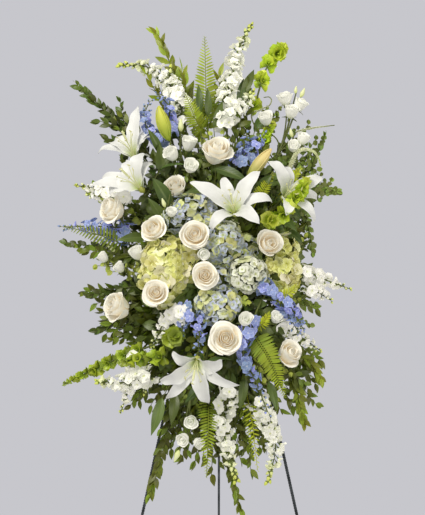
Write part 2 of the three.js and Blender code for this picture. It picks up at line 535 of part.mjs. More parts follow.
const plants = {
  rose_1: [IVORY, rose({ at: [-10, 1505, 150], face: [0.15, 0.6, 0.78], width: 82 })],
  rose_2: [IVORY, rose({ at: [-110, 1412, 125], face: [-0.3, 0.45, 0.85], width: 62, root: { aside: 14, up: 12, deep: 50 } })],
  rose_3: [IVORY, rose({ at: [-275, 1360, 110], face: [-0.85, 0.35, 0.45], width: 66 })],
  rose_4: [IVORY, rose({ at: [-260, 1115, 110], face: [-0.75, 0.1, 0.65], width: 75 })],
  rose_5: [IVORY, rose({ at: [-155, 1152, 200], face: [-0.05, 0.1, 1], width: 68 })],
  rose_6: [IVORY, rose({ at: [-60, 1292, 200], face: [-0.1, 0.35, 0.93], width: 78 })],
  rose_7: [IVORY, rose({ at: [-35, 1193, 205], face: [0.05, 0.15, 1], width: 70 })],
  rose_8: [IVORY, rose({ at: [-160, 1305, 165], face: [-0.35, 0.35, 0.87], width: 66 })],
  rose_9: [IVORY, rose({ at: [118, 1268, 190], face: [0.15, 0.2, 0.97], width: 73 })],
  rose_10: [IVORY, rose({ at: [15, 1042, 190], face: [0, 0.05, 1], width: 80 })],
  rose_11: [IVORY, rose({ at: [168, 1000, 120], face: [0.6, -0.3, 0.75], width: 70, root: { up: 6, deep: 54 } })],

  lily_centre: [WHITE, lily({
    start: [45, 1365, 150],
    blooms: [{ at: [38, 1338, 215], face: [-0.12, 0.5, 0.86], reach: 118, roll: 0.5 }],
    buds: [{ at: [72, 1432, 150], face: [0.6, 0.78, 0.2], length: 95, width: 30 }],
    leaves: [{ stretch: 2, along: [-0.75, 0.55, 0.35], length: 120, half: 15 }],
  })],
  lily_right: [WHITE, lily({
    start: [140, 1365, 100],
    blooms: [{ at: [165, 1398, 165], face: [0.42, 0.38, 0.8], reach: 108, roll: 0.25 }],
    leaves: [{ stretch: 2, along: [0.7, -0.3, 0.5], length: 80, half: 12 }],
  })],
  lily_left: [WHITE, lily({
    start: [-135, 1450, 100],
    blooms: [
      { at: [-182, 1428, 150], face: [-0.82, 0.42, 0.4], reach: 98, roll: 0.3 },
      { at: [-188, 1528, 62], face: [-0.5, 0.75, 0.25], reach: 92, roll: 0.1 },
    ],
    buds: [{ at: [-132, 1540, 105], face: [-0.3, 0.94, 0.1], length: 88, width: 32 }],
  })],
  lily_low: [WHITE, lily({
    start: [-35, 985, 140],
    blooms: [{ at: [-55, 975, 185], face: [-0.1, -0.62, 0.75], reach: 116, roll: 0.4 }],
    leaves: [{ stretch: 2, along: [-0.8, -0.5, 0.3], length: 90, half: 13 }],
  })],

  hydrangea_green_left: [LIME, hydrangea({ at: [-135, 1200, 122], radii: [52, 84, 36], florets: 14, size: 26 })],
  hydrangea_blue_upper: [PALE_BLUE, hydrangea({ at: [12, 1268, 135], radii: [40, 50, 32], florets: 9, size: 23 })],
  hydrangea_white_centre: [WHITE, hydrangea({ at: [72, 1195, 150], radii: [36, 34, 30], florets: 8, size: 20 })],
  hydrangea_blue_lower: [PALE_BLUE, hydrangea({ at: [-5, 1118, 140], radii: [46, 36, 30], florets: 9, size: 21 })],
  hydrangea_green_right: [LIME, hydrangea({ at: [150, 1200, 115], radii: [30, 42, 30], florets: 8, size: 20 })],
  hydrangea_blue_top: [PALE_BLUE, hydrangea({ at: [-65, 1372, 125], radii: [46, 24, 26], florets: 8, size: 18 })],

  delphinium_left: [BLUE, spray('delphinium', {
    start: [-215, 1300, 75],
    branches: [{ way: [[-300, 1312, 70], [-400, 1312, 40]], count: 9 }],
  })],
  delphinium_right: [BLUE, spray('delphinium', {
    start: [104, 1135, 130],
    branches: [
      { way: [[150, 1150, 150], [200, 1055, 120]], count: 5 },
      { way: [[70, 1040, 140], [110, 880, 90]], count: 6 },
    ],
  })],
  delphinium_top_left: [BLUE, spray('delphinium', {
    start: [-118, 1525, 62],
    root: { aside: -4, deep: 34 },
    branches: [{ way: [[-150, 1590, 75], [-178, 1668, 65]], count: 6, buds: 3 }],
  })],
  delphinium_top_right: [BLUE, spray('delphinium', {
    start: [60, 1455, 110],
    branches: [{ way: [[80, 1500, 105], [95, 1550, 95]], count: 5, buds: 1 }],
  })],
  delphinium_centre: [BLUE, spray('delphinium', {
    start: [-65, 1120, 140],
    branches: [{ way: [[-62, 1070, 165], [-52, 1015, 165]], count: 5, buds: 1 }],
  })],

  snapdragon_top: [WHITE, spray('snapdragon', {
    start: [20, 1562, 54],
    branches: [
      { way: [[30, 1680, 40], [85, 1850, 20]], count: 7, buds: 4, from: 0.3 },
      { way: [[60, 1610, 65], [62, 1690, 65]], count: 5, buds: 2, from: 0.15 },
    ],
  })],
  snapdragon_top_left: [WHITE, spray('snapdragon', {
    start: [-85, 1560, 50],
    branches: [{ way: [[-115, 1660, 45], [-170, 1725, 40], [-255, 1740, 40]], count: 7, buds: 5, from: 0.1 }],
  })],
  snapdragon_low_left: [WHITE, spray('snapdragon', {
    start: [-170, 960, 85],
    branches: [{ way: [[-235, 950, 80], [-300, 925, 70]], count: 6, buds: 2 }],
  })],
  snapdragon_bottom: [WHITE, spray('snapdragon', {
    start: [25, 930, 100],
    branches: [
      { way: [[35, 820, 80], [35, 695, 60]], count: 7, buds: 3 },
      { way: [[85, 870, 90], [140, 780, 80], [122, 690, 75]], count: 4, buds: 3, from: 0.15 },
    ],
  })],

  stock_right: [WHITE, spray('stock', {
    start: [190, 1180, 100], branches: [{ way: [[260, 1175, 90], [330, 1152, 80]] }] })],
  stock_left: [WHITE, spray('stock', {
    start: [-250, 1385, 60], branches: [{ way: [[-300, 1410, 55], [-355, 1428, 50]] }] })],
  stock_low_left: [WHITE, spray('stock', {
    start: [-195, 1005, 70], branches: [{ way: [[-225, 930, 65], [-245, 855, 60]] }] })],
  stock_centre: [WHITE, spray('stock', {
    start: [-95, 1085, 120], branches: [{ way: [[-105, 1080, 150], [-112, 1072, 175]], count: 5 }] })],
  stock_low_right: [WHITE, spray('stock', {
    start: [130, 1080, 80], branches: [{ way: [[190, 1045, 75], [240, 1005, 70]] }] })],

  bells_top: [BELL_GREEN, bells({
    start: [60, 1575, 30], branches: [{ way: [[110, 1700, 25], [185, 1800, 25]], count: 11, size: BELL }] })],
  bells_right: [BELL_GREEN, bells({
    start: [135, 1330, 150], branches: [{ way: [[175, 1360, 175], [212, 1420, 180]], count: 7, size: BELL }] })],
  bells_left: [BELL_GREEN, bells({
    start: [-130, 1040, 90],
    branches: [
      { way: [[-250, 985, 70], [-392, 925, 50]], count: 10, size: BELL },
      { way: [[-180, 1010, 115], [-235, 975, 100]], count: 5, size: BELL },
    ],
  })],

  lisianthus_top_left: [WHITE, lisianthus({
    start: [-92, 1480, 92],
    root: { aside: 13, deep: 50 },
    blooms: [
      { at: [-120, 1500, 130], face: [-0.4, 0.3, 0.85], size: 22 },
      { at: [-78, 1532, 115], face: [0.2, 0.6, 0.75], size: 22 },
      { at: [-72, 1465, 140], face: [0.1, 0.2, 0.97], size: 21 },
    ],
    buds: [{ at: [-98, 1560, 95], face: [0, 0.95, 0.3], length: 30 }],
  })],
  lisianthus_top_right: [WHITE, lisianthus({
    start: [150, 1500, 60],
    blooms: [
      { at: [172, 1662, 75], face: [-0.2, 0.5, 0.8], size: 20 },
      { at: [208, 1632, 75], face: [0.5, 0.3, 0.8], size: 20 },
      { at: [182, 1610, 90], face: [0.1, 0.1, 0.97], size: 18 },
      { at: [200, 1532, 95], face: [0.5, 0.2, 0.8], size: 21 },
      { at: [182, 1490, 110], face: [0.4, 0, 0.9], size: 20 },
    ],
    buds: [{ at: [118, 1590, 85], face: [-0.1, 0.9, 0.4], length: 28 }],
  })],
  lisianthus_left: [WHITE, lisianthus({
    start: [-205, 1240, 75],
    blooms: [
      { at: [-205, 1252, 120], face: [-0.3, 0.3, 0.9], size: 20 },
      { at: [-290, 1238, 75], face: [-0.8, 0.3, 0.5], size: 20 },
      { at: [-252, 1212, 90], face: [-0.5, -0.2, 0.85], size: 19 },
    ],
    buds: [{ at: [-262, 1252, 60], face: [-0.8, 0.5, 0.1], length: 26 }],
  })],
  lisianthus_bottom: [WHITE, lisianthus({
    start: [-70, 900, 80],
    blooms: [
      { at: [-70, 838, 110], face: [0, -0.2, 1], size: 20 },
      { at: [-88, 795, 100], face: [-0.3, -0.3, 0.9], size: 20 },
      { at: [-52, 785, 95], face: [0.4, -0.3, 0.85], size: 18 },
    ],
    buds: [{ at: [-100, 762, 85], face: [-0.4, -0.9, 0.1], length: 28 }],
  })],
  lisianthus_centre: [WHITE, lisianthus({
    start: [50, 1090, 135],
    root: { aside: -11 },
    blooms: [
      { at: [62, 1085, 185], face: [0.1, 0.1, 1], size: 20 },
      { at: [138, 1088, 150], face: [0.3, 0, 0.95], size: 19 },
    ],
  })],

  fern_top: [FERN_GREEN, fern({
    start: [-30, 1560, 45],
    fronds: [
      { way: [[-35, 1690, 32], [-40, 1818, 25]], leaflets: 10, half: 32 },
      { way: [[-65, 1600, 80], [-85, 1662, 95]], leaflets: 7, half: 24 },
    ],
  })],
  fern_left: [FERN_GREEN, fern({
    start: [-215, 1265, 50], fronds: [{ way: [[-290, 1300, 45], [-370, 1315, 30]], leaflets: 9, half: 27 }] })],
  fern_right: [FERN_GREEN, fern({
    start: [85, 1045, 150], fronds: [{ way: [[120, 990, 175], [160, 905, 165]], leaflets: 8, half: 31 }] })],
  fern_bottom: [FERN_GREEN, fern({
    start: [-25, 900, 75],
    fronds: [
      { way: [[-30, 810, 85], [-38, 705, 80]], leaflets: 8, half: 24 },
      { way: [[70, 850, 50], [95, 745, 45]], leaflets: 7, half: 23 },
    ],
  })],

  veronica: [LIME, veronica({
    start: [165, 1440, 45],
    root: { deep: 34 },
    branches: [
      { way: [[220, 1560, 60], [298, 1578, 60]] },
      { way: [[205, 1478, 90], [268, 1492, 90]] },
      { way: [[112, 1600, 60], [122, 1648, 60]] },
    ],
  })],

  foliage_top: [LEAF_GREEN, foliage({
    start: [-70, 1590, 25],
    half: 27,
    branches: [
      { way: [[-110, 1730, 20], [-165, 1848, 20]], pairs: 9 },
      { way: [[-5, 1640, 15], [0, 1720, 15]], pairs: 4 },
    ],
  })],
  foliage_left_upper: [LEAF_GREEN, foliage({
    start: [-190, 1490, 20],
    half: 27,
    branches: [{ way: [[-285, 1590, 15], [-398, 1708, 20]], pairs: 9 }],
  })],
  foliage_left_lower: [LEAF_GREEN, foliage({
    start: [-185, 1150, 45],
    half: 27,
    branches: [
      { way: [[-290, 1200, 35], [-405, 1262, 30]], pairs: 5 },
      { way: [[-270, 1120, 50], [-350, 1080, 50]], pairs: 5 },
      { way: [[-220, 1090, 50], [-280, 1040, 50]], pairs: 4 },
    ],
  })],
  foliage_right_upper: [LEAF_GREEN, foliage({
    start: [180, 1390, 30],
    root: { deep: 30 },
    half: 24,
    branches: [
      { way: [[240, 1400, 40], [305, 1410, 50]], pairs: 5 },
      { way: [[235, 1470, 30], [285, 1545, 30]], pairs: 5 },
      { way: [[220, 1350, 30], [255, 1290, 40]], pairs: 4 },
    ],
  })],
  foliage_right_lower: [LEAF_GREEN, foliage({
    start: [150, 1000, 50],
    half: 24,
    branches: [
      { way: [[210, 960, 45], [262, 945, 50]], pairs: 5 },
      { way: [[195, 890, 50], [222, 812, 60]], pairs: 6 },
    ],
  })],
  foliage_bottom: [LEAF_GREEN, foliage({
    start: [-90, 950, 50],
    half: 27,
    branches: [
      { way: [[-140, 800, 45], [-178, 640, 45]], pairs: 8 },
      { way: [[10, 780, 45], [62, 605, 40]], pairs: 8 },
    ],
  })],
};

// The stems are laid out first, and every other piece keeps clear of them.
const stemsOf = ({ line, radii, steps = 3, until = 1, shoots = [], shootRadius, shootTip, shootUntil }, extra = 0) => [
  tube(line, radii, { steps, extra, share: until }),
  ...shoots.map((shoot) => tube(shoot, [shootRadius, shootTip ?? shootRadius], { extra, share: shootUntil })),
];
const stems = {};
const stemSpaces = {};
for (const [name, [, plant]] of Object.entries(plants)) {
  stems[name] = joined(stemsOf(plant));
  stemSpaces[name] = joined(stemsOf(plant, STEM_CLEARANCE));
}

function boxesMeet(a, b, reach) {
  const one = a.boundingBox();
  const other = b.boundingBox();
  return [0, 1, 2].every((k) => one.min[k] - reach < other.max[k] && other.min[k] - reach < one.max[k]);
}

const clearOf = (solid, others) => others.every((other) =>
  !boxesMeet(solid, other, FIT_GAP) || solid.minGap(other, 2 * FIT_GAP) >= FIT_GAP);

const largestBody = (solid) => solid.decompose().reduce((a, b) => (b.volume() > a.volume() ? b : a));

// Each plant: its stems, its main forms with plain holes for other stems, and its repeats. A repeat that would
// touch a neighbour is made smaller, and left out where that isn't enough.
const SCALES = [1, 0.75, 0.55];
const solids = {};
for (const [name, [, plant]] of Object.entries(plants)) {
  const otherStems = Object.keys(stems).filter((other) => other !== name).map((other) => stemSpaces[other]);
  const inTheWay = [...Object.values(solids), ...otherStems];
  const body = plant.core.map((form) => otherStems
    .filter((stem) => boxesMeet(form, stem, 0))
    .reduce((made, stem) => made.subtract(stem), form));
  const repeats = plant.loose
    .map((repeat) => SCALES.map(repeat).find((solid) => clearOf(solid, inTheWay)))
    .filter((solid) => solid);
  solids[name] = largestBody(joined([stems[name], ...body, ...repeats]));
}

// The easel and the cage are made upright in their own frame, with z up the legs, and lean back together.
const leaned = new THREE.Matrix4().makeRotationX(-LEAN);
const upright = (x, y, z) => new THREE.Matrix4().makeTranslation(x, y, z);
const box = (wide, deep, tall, x, y, z) => solidOf(new THREE.BoxGeometry(wide, deep, tall), upright(x, y, z));

// A round bar between two points.
function bar(from, to, radius, sides = 8) {
  const along = to.clone().sub(from);
  const turn = new THREE.Quaternion().setFromUnitVectors(point(0, 1, 0), along.clone().normalize());
  const middle = from.clone().lerp(to, 0.5);
  const place = new THREE.Matrix4().compose(middle, turn, point(1, 1, 1));
  return solidOf(new THREE.CylinderGeometry(radius, radius, along.length(), sides), place);
}

const tilted = (solid) => solid.transform(leaned.elements);
const upLegs = (height) => height / Math.cos(LEAN);
const FLOOR = box(2000, 2000, 200, 0, 300, -100);
const cutAtFloor = (solid) => solid.subtract(FLOOR);

// The hooks stand on the legs and carry the cage by the two holes in its tab.
const trayBack = -(LEG_RADIUS + FIT_GAP);
const trayFront = trayBack - TRAY.back;
const foamMiddle = upLegs(FOAM_HEIGHT);
const tabMiddle = foamMiddle + FOAM.tall / 2 + TRAY.wall + FIT_GAP + TAB.tall / 2;
const legXAt = (up) => THREE.MathUtils.mapLinear(up, 0, LEG_TOP.up, LEG_FOOT_X, LEG_TOP.x);
const hookX = legXAt(tabMiddle);
const hookFront = trayFront - HOOK.reach + TRAY.back;

function leg(side) {
  const foot = point(side * legXAt(-20), 0, -20);
  const rod = bar(foot, point(side * LEG_TOP.x, 0, LEG_TOP.up), LEG_RADIUS);
  const peg = bar(point(side * hookX, 0, tabMiddle), point(side * hookX, hookFront, tabMiddle), HOOK.radius, 6);
  const bend = point(side * hookX, hookFront + HOOK.radius, tabMiddle);
  const nose = bar(bend, bend.clone().add(point(0, -2, HOOK.rise)), HOOK.radius, 6);
  return cutAtFloor(tilted(joined([rod, peg, nose])));
}

// The bracket that the legs' tops are welded to, with two ears and the pin of the back leg.
const plateY = LEG_RADIUS + FIT_GAP + BRACKET.thick / 2;
const plateBack = plateY + BRACKET.thick / 2;
const pinY = PIN.behind;
const earX = EYE.wide / 2 + 2 * FIT_GAP + EAR.thick / 2;
const earDeep = EAR.reach - plateBack;
const bracket = tilted(joined([
  box(BRACKET.wide, BRACKET.thick, BRACKET.tall, 0, plateY, BRACKET.up),
  ...[-1, 1].map((side) => box(EAR.thick, earDeep + 1, EAR.tall, side * earX, plateBack + earDeep / 2 - 0.5, PIN.up)),
  bar(point(-earX - EAR.thick, pinY, PIN.up), point(earX + EAR.thick, pinY, PIN.up), PIN.radius, 12),
]));

// The back leg: an eye on the pin, a stop arm that meets the plate when the leg is open, and a long rod.
const openAngle = LEAN + BACK_LEG_ANGLE;
const down = point(0, Math.sin(openAngle), -Math.cos(openAngle));
const pinAt = point(0, pinY, PIN.up);
const stopReach = (pinY - plateBack - FIT_GAP - BACK_LEG_RADIUS * Math.cos(openAngle)) / Math.sin(openAngle);
const rodLength = (PIN.up * Math.cos(LEAN) + 60) / Math.cos(BACK_LEG_ANGLE);
const eyeHalf = point(EYE.wide / 2, 0, 0);
const rod = bar(pinAt.clone().addScaledVector(down, -stopReach), pinAt.clone().addScaledVector(down, rodLength), BACK_LEG_RADIUS);
const eye = bar(pinAt.clone().sub(eyeHalf), pinAt.clone().add(eyeHalf), EYE.radius, 12);
const bore = bar(pinAt.clone().addScaledVector(eyeHalf, -2), pinAt.clone().addScaledVector(eyeHalf, 2), EYE.bore, 12);
const backLeg = cutAtFloor(tilted(rod.add(eye).subtract(bore)));

// The cage: a shallow tray behind the foam, its tab, and straps that run round the foam's sides and front.
const foamBack = trayFront - FIT_GAP;
const foamFront = foamBack - FOAM.thick;
const insideWide = FOAM.wide + 2 * FIT_GAP;
const insideTall = FOAM.tall + 2 * FIT_GAP;
const outerWide = insideWide + 2 * TRAY.wall;
const outerTall = insideTall + 2 * TRAY.wall;
const strapFront = foamFront - FIT_GAP - STRAP.thick;
const strapDeep = trayFront - strapFront + 1;
const strapY = strapFront + strapDeep / 2;
const walls = box(outerWide, TRAY.lip + TRAY.back, outerTall, 0, trayBack - (TRAY.lip + TRAY.back) / 2, foamMiddle);
const rows = STRAP.rows.map((row) => box(outerWide, strapDeep, STRAP.width, 0, strapY, foamMiddle + row));
const columns = STRAP.columns.map((column) => box(STRAP.width, strapDeep, outerTall, column, strapY, foamMiddle));
const foamDeep = trayFront - foamFront + FIT_GAP;
const inside = box(insideWide, foamDeep, insideTall, 0, trayFront - foamDeep / 2, foamMiddle);
const tab = box(TAB.wide, TRAY.back, TAB.tall + 2, 0, trayBack - TRAY.back / 2, tabMiddle - 1);
const hookHoles = [-1, 1].map((side) => bar(
  point(side * hookX, trayBack + 5, tabMiddle), point(side * hookX, trayFront - 5, tabMiddle), HOOK.radius + FIT_GAP, 6));
const cage = hookHoles.reduce(
  (made, hole) => made.subtract(hole),
  joined([walls, ...rows, ...columns]).subtract(inside).add(tab),
);

// The foam has a plain hole for each stem.
const foam = tilted(box(FOAM.wide, FOAM.thick, FOAM.tall, 0, (foamBack + foamFront) / 2, foamMiddle));
const foamBlock = Object.values(stemSpaces).reduce((made, space) => made.subtract(space), foam);

const holder = {
  leg_left: [STEEL, leg(-1)],
  leg_right: [STEEL, leg(1)],
  head_bracket: [STEEL, bracket],
  back_leg: [STEEL, backLeg],
  foam_cage: [PLASTIC, tilted(cage)],
  foam_block: [FOAM_GREEN, foamBlock],
};

const group = new THREE.Group();
group.name = 'standing_funeral_spray';
function addPiece(name, finish, solid) {
  const mesh = new THREE.Mesh(geometryOf(solid), new THREE.MeshStandardMaterial({ ...finish, flatShading: true }));
  mesh.name = name;
  group.add(mesh);
}
for (const [name, [finish, solid]] of Object.entries(holder)) addPiece(name, finish, solid);
for (const [name, [finish]] of Object.entries(plants)) addPiece(name, finish, solids[name]);

// The origin lies under the middle of the whole object.
const whole = new THREE.Box3().setFromObject(group);
const middle = whole.getCenter(point());
group.position.set(-middle.x, -middle.y, -whole.min.z);

export default group;
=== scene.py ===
import json
import math
import random

import bpy
import numpy as np
from mathutils import Matrix, Vector, noise

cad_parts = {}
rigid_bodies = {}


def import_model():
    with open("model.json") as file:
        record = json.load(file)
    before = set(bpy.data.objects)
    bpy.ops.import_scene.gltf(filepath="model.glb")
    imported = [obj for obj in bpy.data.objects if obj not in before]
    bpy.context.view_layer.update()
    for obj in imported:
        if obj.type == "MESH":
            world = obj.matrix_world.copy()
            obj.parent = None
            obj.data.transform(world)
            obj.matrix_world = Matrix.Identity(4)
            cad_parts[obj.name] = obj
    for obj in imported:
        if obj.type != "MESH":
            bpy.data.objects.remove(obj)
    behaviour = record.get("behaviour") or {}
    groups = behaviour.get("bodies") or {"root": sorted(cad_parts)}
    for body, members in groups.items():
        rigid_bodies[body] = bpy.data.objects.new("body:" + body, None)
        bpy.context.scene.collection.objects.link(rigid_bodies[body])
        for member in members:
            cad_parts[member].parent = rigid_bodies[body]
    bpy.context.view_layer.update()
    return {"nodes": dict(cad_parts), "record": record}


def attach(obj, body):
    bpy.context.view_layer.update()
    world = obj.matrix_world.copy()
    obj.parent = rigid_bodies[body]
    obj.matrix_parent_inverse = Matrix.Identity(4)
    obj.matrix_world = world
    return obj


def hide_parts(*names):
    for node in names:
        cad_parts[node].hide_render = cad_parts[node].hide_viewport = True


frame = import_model()


# Studio. The spray stands on a pale floor in soft light from the upper left, before a plain pale grey.
# The camera looks level at the flowers from 3.2 m, as the photograph was taken.
feet = {mount["name"]: Vector(mount["pos_m"]) for mount in frame["record"]["mounts"]}
EASEL_FOOT = (feet["foot_left"] + feet["foot_right"]) / 2
PHOTO_HEIGHT_PX = 515
PIXEL = 0.0025
CAMERA_DISTANCE = 3.2
CAMERA_PLACE = (-0.0175, -3.08, 1.236)
SENSOR = 36
FLOWER_MIDDLE = (0, -0.1, 1.2)
WARM_LIGHT = (1.0, 0.96, 0.885)
PALE_GREY = (0.57, 0.57, 0.605, 1)
ROOM_LIGHT = (0.42, 0.41, 0.375, 1)
FLOOR_GREY = (0.66, 0.66, 0.68, 1)
FLOOR_RADIUS = 2.3

camera_data = bpy.data.cameras.new("camera")
camera_data.sensor_fit = "VERTICAL"
camera_data.sensor_height = SENSOR
camera_data.lens = SENSOR * CAMERA_DISTANCE / PIXEL / PHOTO_HEIGHT_PX
camera = bpy.data.objects.new("camera", camera_data)
camera.location = EASEL_FOOT + Vector(CAMERA_PLACE)
camera.rotation_euler = (math.pi / 2, 0, 0)
bpy.context.collection.objects.link(camera)
bpy.context.scene.camera = camera


def soft_light(name, place, size, watts):
    """A square area light that faces the flowers."""
    data = bpy.data.lights.new(name, "AREA")
    data.size = size
    data.energy = watts
    data.color = WARM_LIGHT
    light = bpy.data.objects.new(name, data)
    light.location = place
    light.rotation_euler = (Vector(FLOWER_MIDDLE) - Vector(place)).to_track_quat("-Z", "Y").to_euler()
    bpy.context.collection.objects.link(light)


soft_light("key light", (-1.7, -2.3, 3.3), 1.6, 96)
soft_light("fill light", (2.6, -2.6, 1.6), 2.4, 50)
soft_light("back light", (0.6, 2.6, 2.8), 1.8, 50)


def node(tree, kind, inputs=(), **settings):
    """Adds a node, with its settings and its inputs: each a link's source socket or a value."""
    made = tree.nodes.new(kind)
    for name, value in settings.items():
        setattr(made, name, value)
    for key, value in dict(inputs).items():
        socket = made.inputs[key]
        if isinstance(value, bpy.types.NodeSocket):
            tree.links.new(value, socket)
        else:
            socket.default_value = value
    return made


world = bpy.data.worlds.new("pale room")
world.use_nodes = True
room = world.node_tree
backdrop = room.nodes["Background"]
backdrop.inputs["Color"].default_value = PALE_GREY
room_light = node(room, "ShaderNodeBackground", {"Color": ROOM_LIGHT})
seen = node(room, "ShaderNodeLightPath").outputs["Is Camera Ray"]
either = node(room, "ShaderNodeMixShader", {0: seen, 1: room_light.outputs[0], 2: backdrop.outputs[0]})
room.links.new(either.outputs[0], room.nodes["World Output"].inputs["Surface"])
bpy.context.scene.world = world
bpy.context.scene.view_settings.view_transform = "Standard"


def new_finish(name, roughness, **settings):
    """A material whose Principled shader has these values, with its node tree and that shader."""
    made = bpy.data.materials.new(name)
    made.use_nodes = True
    shader = made.node_tree.nodes["Principled BSDF"]
    shader.inputs["Roughness"].default_value = roughness
    for socket, value in settings.items():
        shader.inputs[socket.replace("_", " ")].default_value = value
    return made, made.node_tree, shader


bpy.ops.mesh.primitive_circle_add(vertices=96, radius=FLOOR_RADIUS, fill_type="NGON")
floor = bpy.context.object
floor.name = "floor"
floor.data.materials.append(new_finish("pale floor", 0.8, Base_Color=FLOOR_GREY)[0])


# The wire easel. Two front legs of square steel wire, twisted along their length, carry the cage on hooks;
# they are welded to a flat bracket, whose pin holds the plain round back leg. All are coated dark grey.
MARKS = ("along", "across", "tone", "rise", "green")
SHARP_EDGE = math.radians(75)


def points_of(mesh):
    points = np.zeros(len(mesh.vertices) * 3)
    mesh.vertices.foreach_get("co", points)
    return points.reshape(-1, 3)


class Form:
    """The mesh of a piece as it is built up. Its marks are values at each point that the materials read:
    along runs from a petal's root to its tip, across from its middle to its edge and rise up the stem, tone
    is a petal's own, and green is 1 on the parts of a small shape that are not petal."""

    def __init__(self):
        self.points = []
        self.faces = []
        self.finish_of_face = []
        self.finishes = []
        self.marks = {mark: [] for mark in MARKS}
        self.count = 0

    def add_points(self, points, marks):
        """Adds points with their marks, and gives the number of the first."""
        first = self.count
        self.points.append(points)
        self.count += len(points)
        for mark in MARKS:
            self.marks[mark].append(np.broadcast_to(marks.get(mark, 0.0), len(points)))
        return first

    def add_faces(self, faces, finish, first):
        """Adds faces with the same number of corners, whose points are counted from the first."""
        if finish not in self.finishes:
            self.finishes.append(finish)
        self.faces += (np.asarray(faces) + first).tolist()
        self.finish_of_face += [self.finishes.index(finish)] * len(faces)

    def add(self, points, faces, finish, **marks):
        first = self.add_points(np.asarray(points, float).reshape(-1, 3), marks)
        self.add_faces(faces, finish, first)
        return first

    def take(self, mesh):
        """Adds a mesh made elsewhere, with its materials and marks."""
        marks = {}
        for mark in MARKS:
            if mark in mesh.attributes:
                marks[mark] = np.zeros(len(mesh.vertices))
                mesh.attributes[mark].data.foreach_get("value", marks[mark])
        first = self.add_points(points_of(mesh), marks)
        alike = {}
        for polygon in mesh.polygons:
            kind = (len(polygon.vertices), polygon.material_index)
            alike.setdefault(kind, []).append(polygon.vertices[:])
        for (_, index), faces in alike.items():
            self.add_faces(faces, mesh.materials[index], first)

    def object(self, name, smooth=True):
        mesh = bpy.data.meshes.new(name)
        mesh.from_pydata(np.concatenate(self.points), [], self.faces)
        for finish in self.finishes:
            mesh.materials.append(finish)
        mesh.polygons.foreach_set("material_index", self.finish_of_face)
        mesh.polygons.foreach_set("use_smooth", [smooth] * len(self.faces))
        for mark in MARKS:
            values = np.concatenate(self.marks[mark])
            if values.any():
                mesh.attributes.new(mark, "FLOAT", "POINT").data.foreach_set("value", values)
        mesh.update()
        if smooth:
            mesh.set_sharp_from_angle(angle=SHARP_EDGE)
        made = bpy.data.objects.new(name, mesh)
        bpy.context.collection.objects.link(made)
        return made


def finished(form, name, replaced=None, smooth=True):
    """The finished piece of a form, in place of a plain node where one is named."""
    made = form.object(name, smooth)
    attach(made, "stand")
    if replaced:
        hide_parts(replaced)


STEPS = 8


def smooth_line(places, steps=STEPS):
    """Points of the smooth curve through given places."""
    places = [np.array(place) for place in places]
    ends = [2 * places[0] - places[1], *places, 2 * places[-1] - places[-2]]
    line = []
    for a, b, c, d in zip(ends, ends[1:], ends[2:], ends[3:]):
        for t in np.arange(steps) / steps:
            point = 2 * b + (c - a) * t
            point = point + (2 * a - 5 * b + 4 * c - d) * t**2 + (3 * b - a - 3 * c + d) * t**3
            line.append(0.5 * point)
    return np.array([*line, places[-1]])


def rod(form, line, radii, finish, sides=6, twist=0, **marks):
    """A round bar along a line. Radii are given at even steps of it, and twist is its turns over its
    length."""
    line = np.asarray(line, float)
    tangents = np.gradient(line, axis=0)
    tangents /= np.linalg.norm(tangents, axis=1, keepdims=True)
    shares = np.linspace(0, 1, len(line))
    reach = np.interp(shares, np.linspace(0, 1, len(radii)), radii)
    side = np.cross(tangents[0], (0.13, -0.95, 0.29))
    rings = []
    for centre, along, radius, share in zip(line, tangents, reach, shares):
        side = side - along * side.dot(along)
        side /= np.linalg.norm(side)
        other = np.cross(along, side)
        angles = 2 * math.pi * (np.arange(sides) / sides + twist * share)
        rings.append(centre + radius * (np.outer(np.cos(angles), side) + np.outer(np.sin(angles), other)))
    points = np.concatenate([*rings, line[:1], line[-1:]])
    marks.setdefault("along", np.concatenate([np.repeat(shares, sides), [0, 1]]))
    ring = np.arange(sides)
    after = np.roll(ring, -1)
    starts = sides * np.arange(len(line) - 1)[:, None]
    walls = np.stack([starts + ring, starts + after, starts + sides + after, starts + sides + ring], axis=-1)
    first = form.add(points, walls.reshape(-1, 4), finish, **marks)
    end = np.full(sides, len(line) * sides)
    form.add_faces(np.stack([end, after, ring], axis=-1), finish, first)
    last = sides * (len(line) - 1)
    form.add_faces(np.stack([end + 1, last + ring, last + after], axis=-1), finish, first)


def object_noise(tree, scale, detail=3.0):
    """A noise value on the object's own coordinates, at a scale given in cells per metre."""
    place = node(tree, "ShaderNodeTexCoord").outputs["Object"]
    noise = node(tree, "ShaderNodeTexNoise", {"Vector": place, "Scale": scale, "Detail": detail})
    return noise.outputs["Fac"]


def ramp(tree, factor, stops):
    """A colour ramp from stops of (place, colour)."""
    made = node(tree, "ShaderNodeValToRGB", {"Fac": factor})
    for element, (place, colour) in zip(made.color_ramp.elements, stops):
        element.position = place
        element.color = (*colour, 1)
    return made.outputs["Color"]


def add_bump(tree, shader, height, distance, strength=1.0):
    bump = node(tree, "ShaderNodeBump", {"Height": height, "Distance": distance, "Strength": strength})
    tree.links.new(bump.outputs["Normal"], shader.inputs["Normal"])


def coat(name, finish):
    """Gives a solid that stays in view its finish."""
    frame["nodes"][name].data.materials.clear()
    frame["nodes"][name].data.materials.append(finish)


wire, tree, shader = new_finish("coated easel wire", 0.36, Metallic=0.75)
worn = ramp(tree, object_noise(tree, 60), [(0.35, (0.03, 0.036, 0.042)), (0.7, (0.10, 0.115, 0.13))])
tree.links.new(worn, shader.inputs["Base Color"])
add_bump(tree, shader, object_noise(tree, 700), 0.0002)

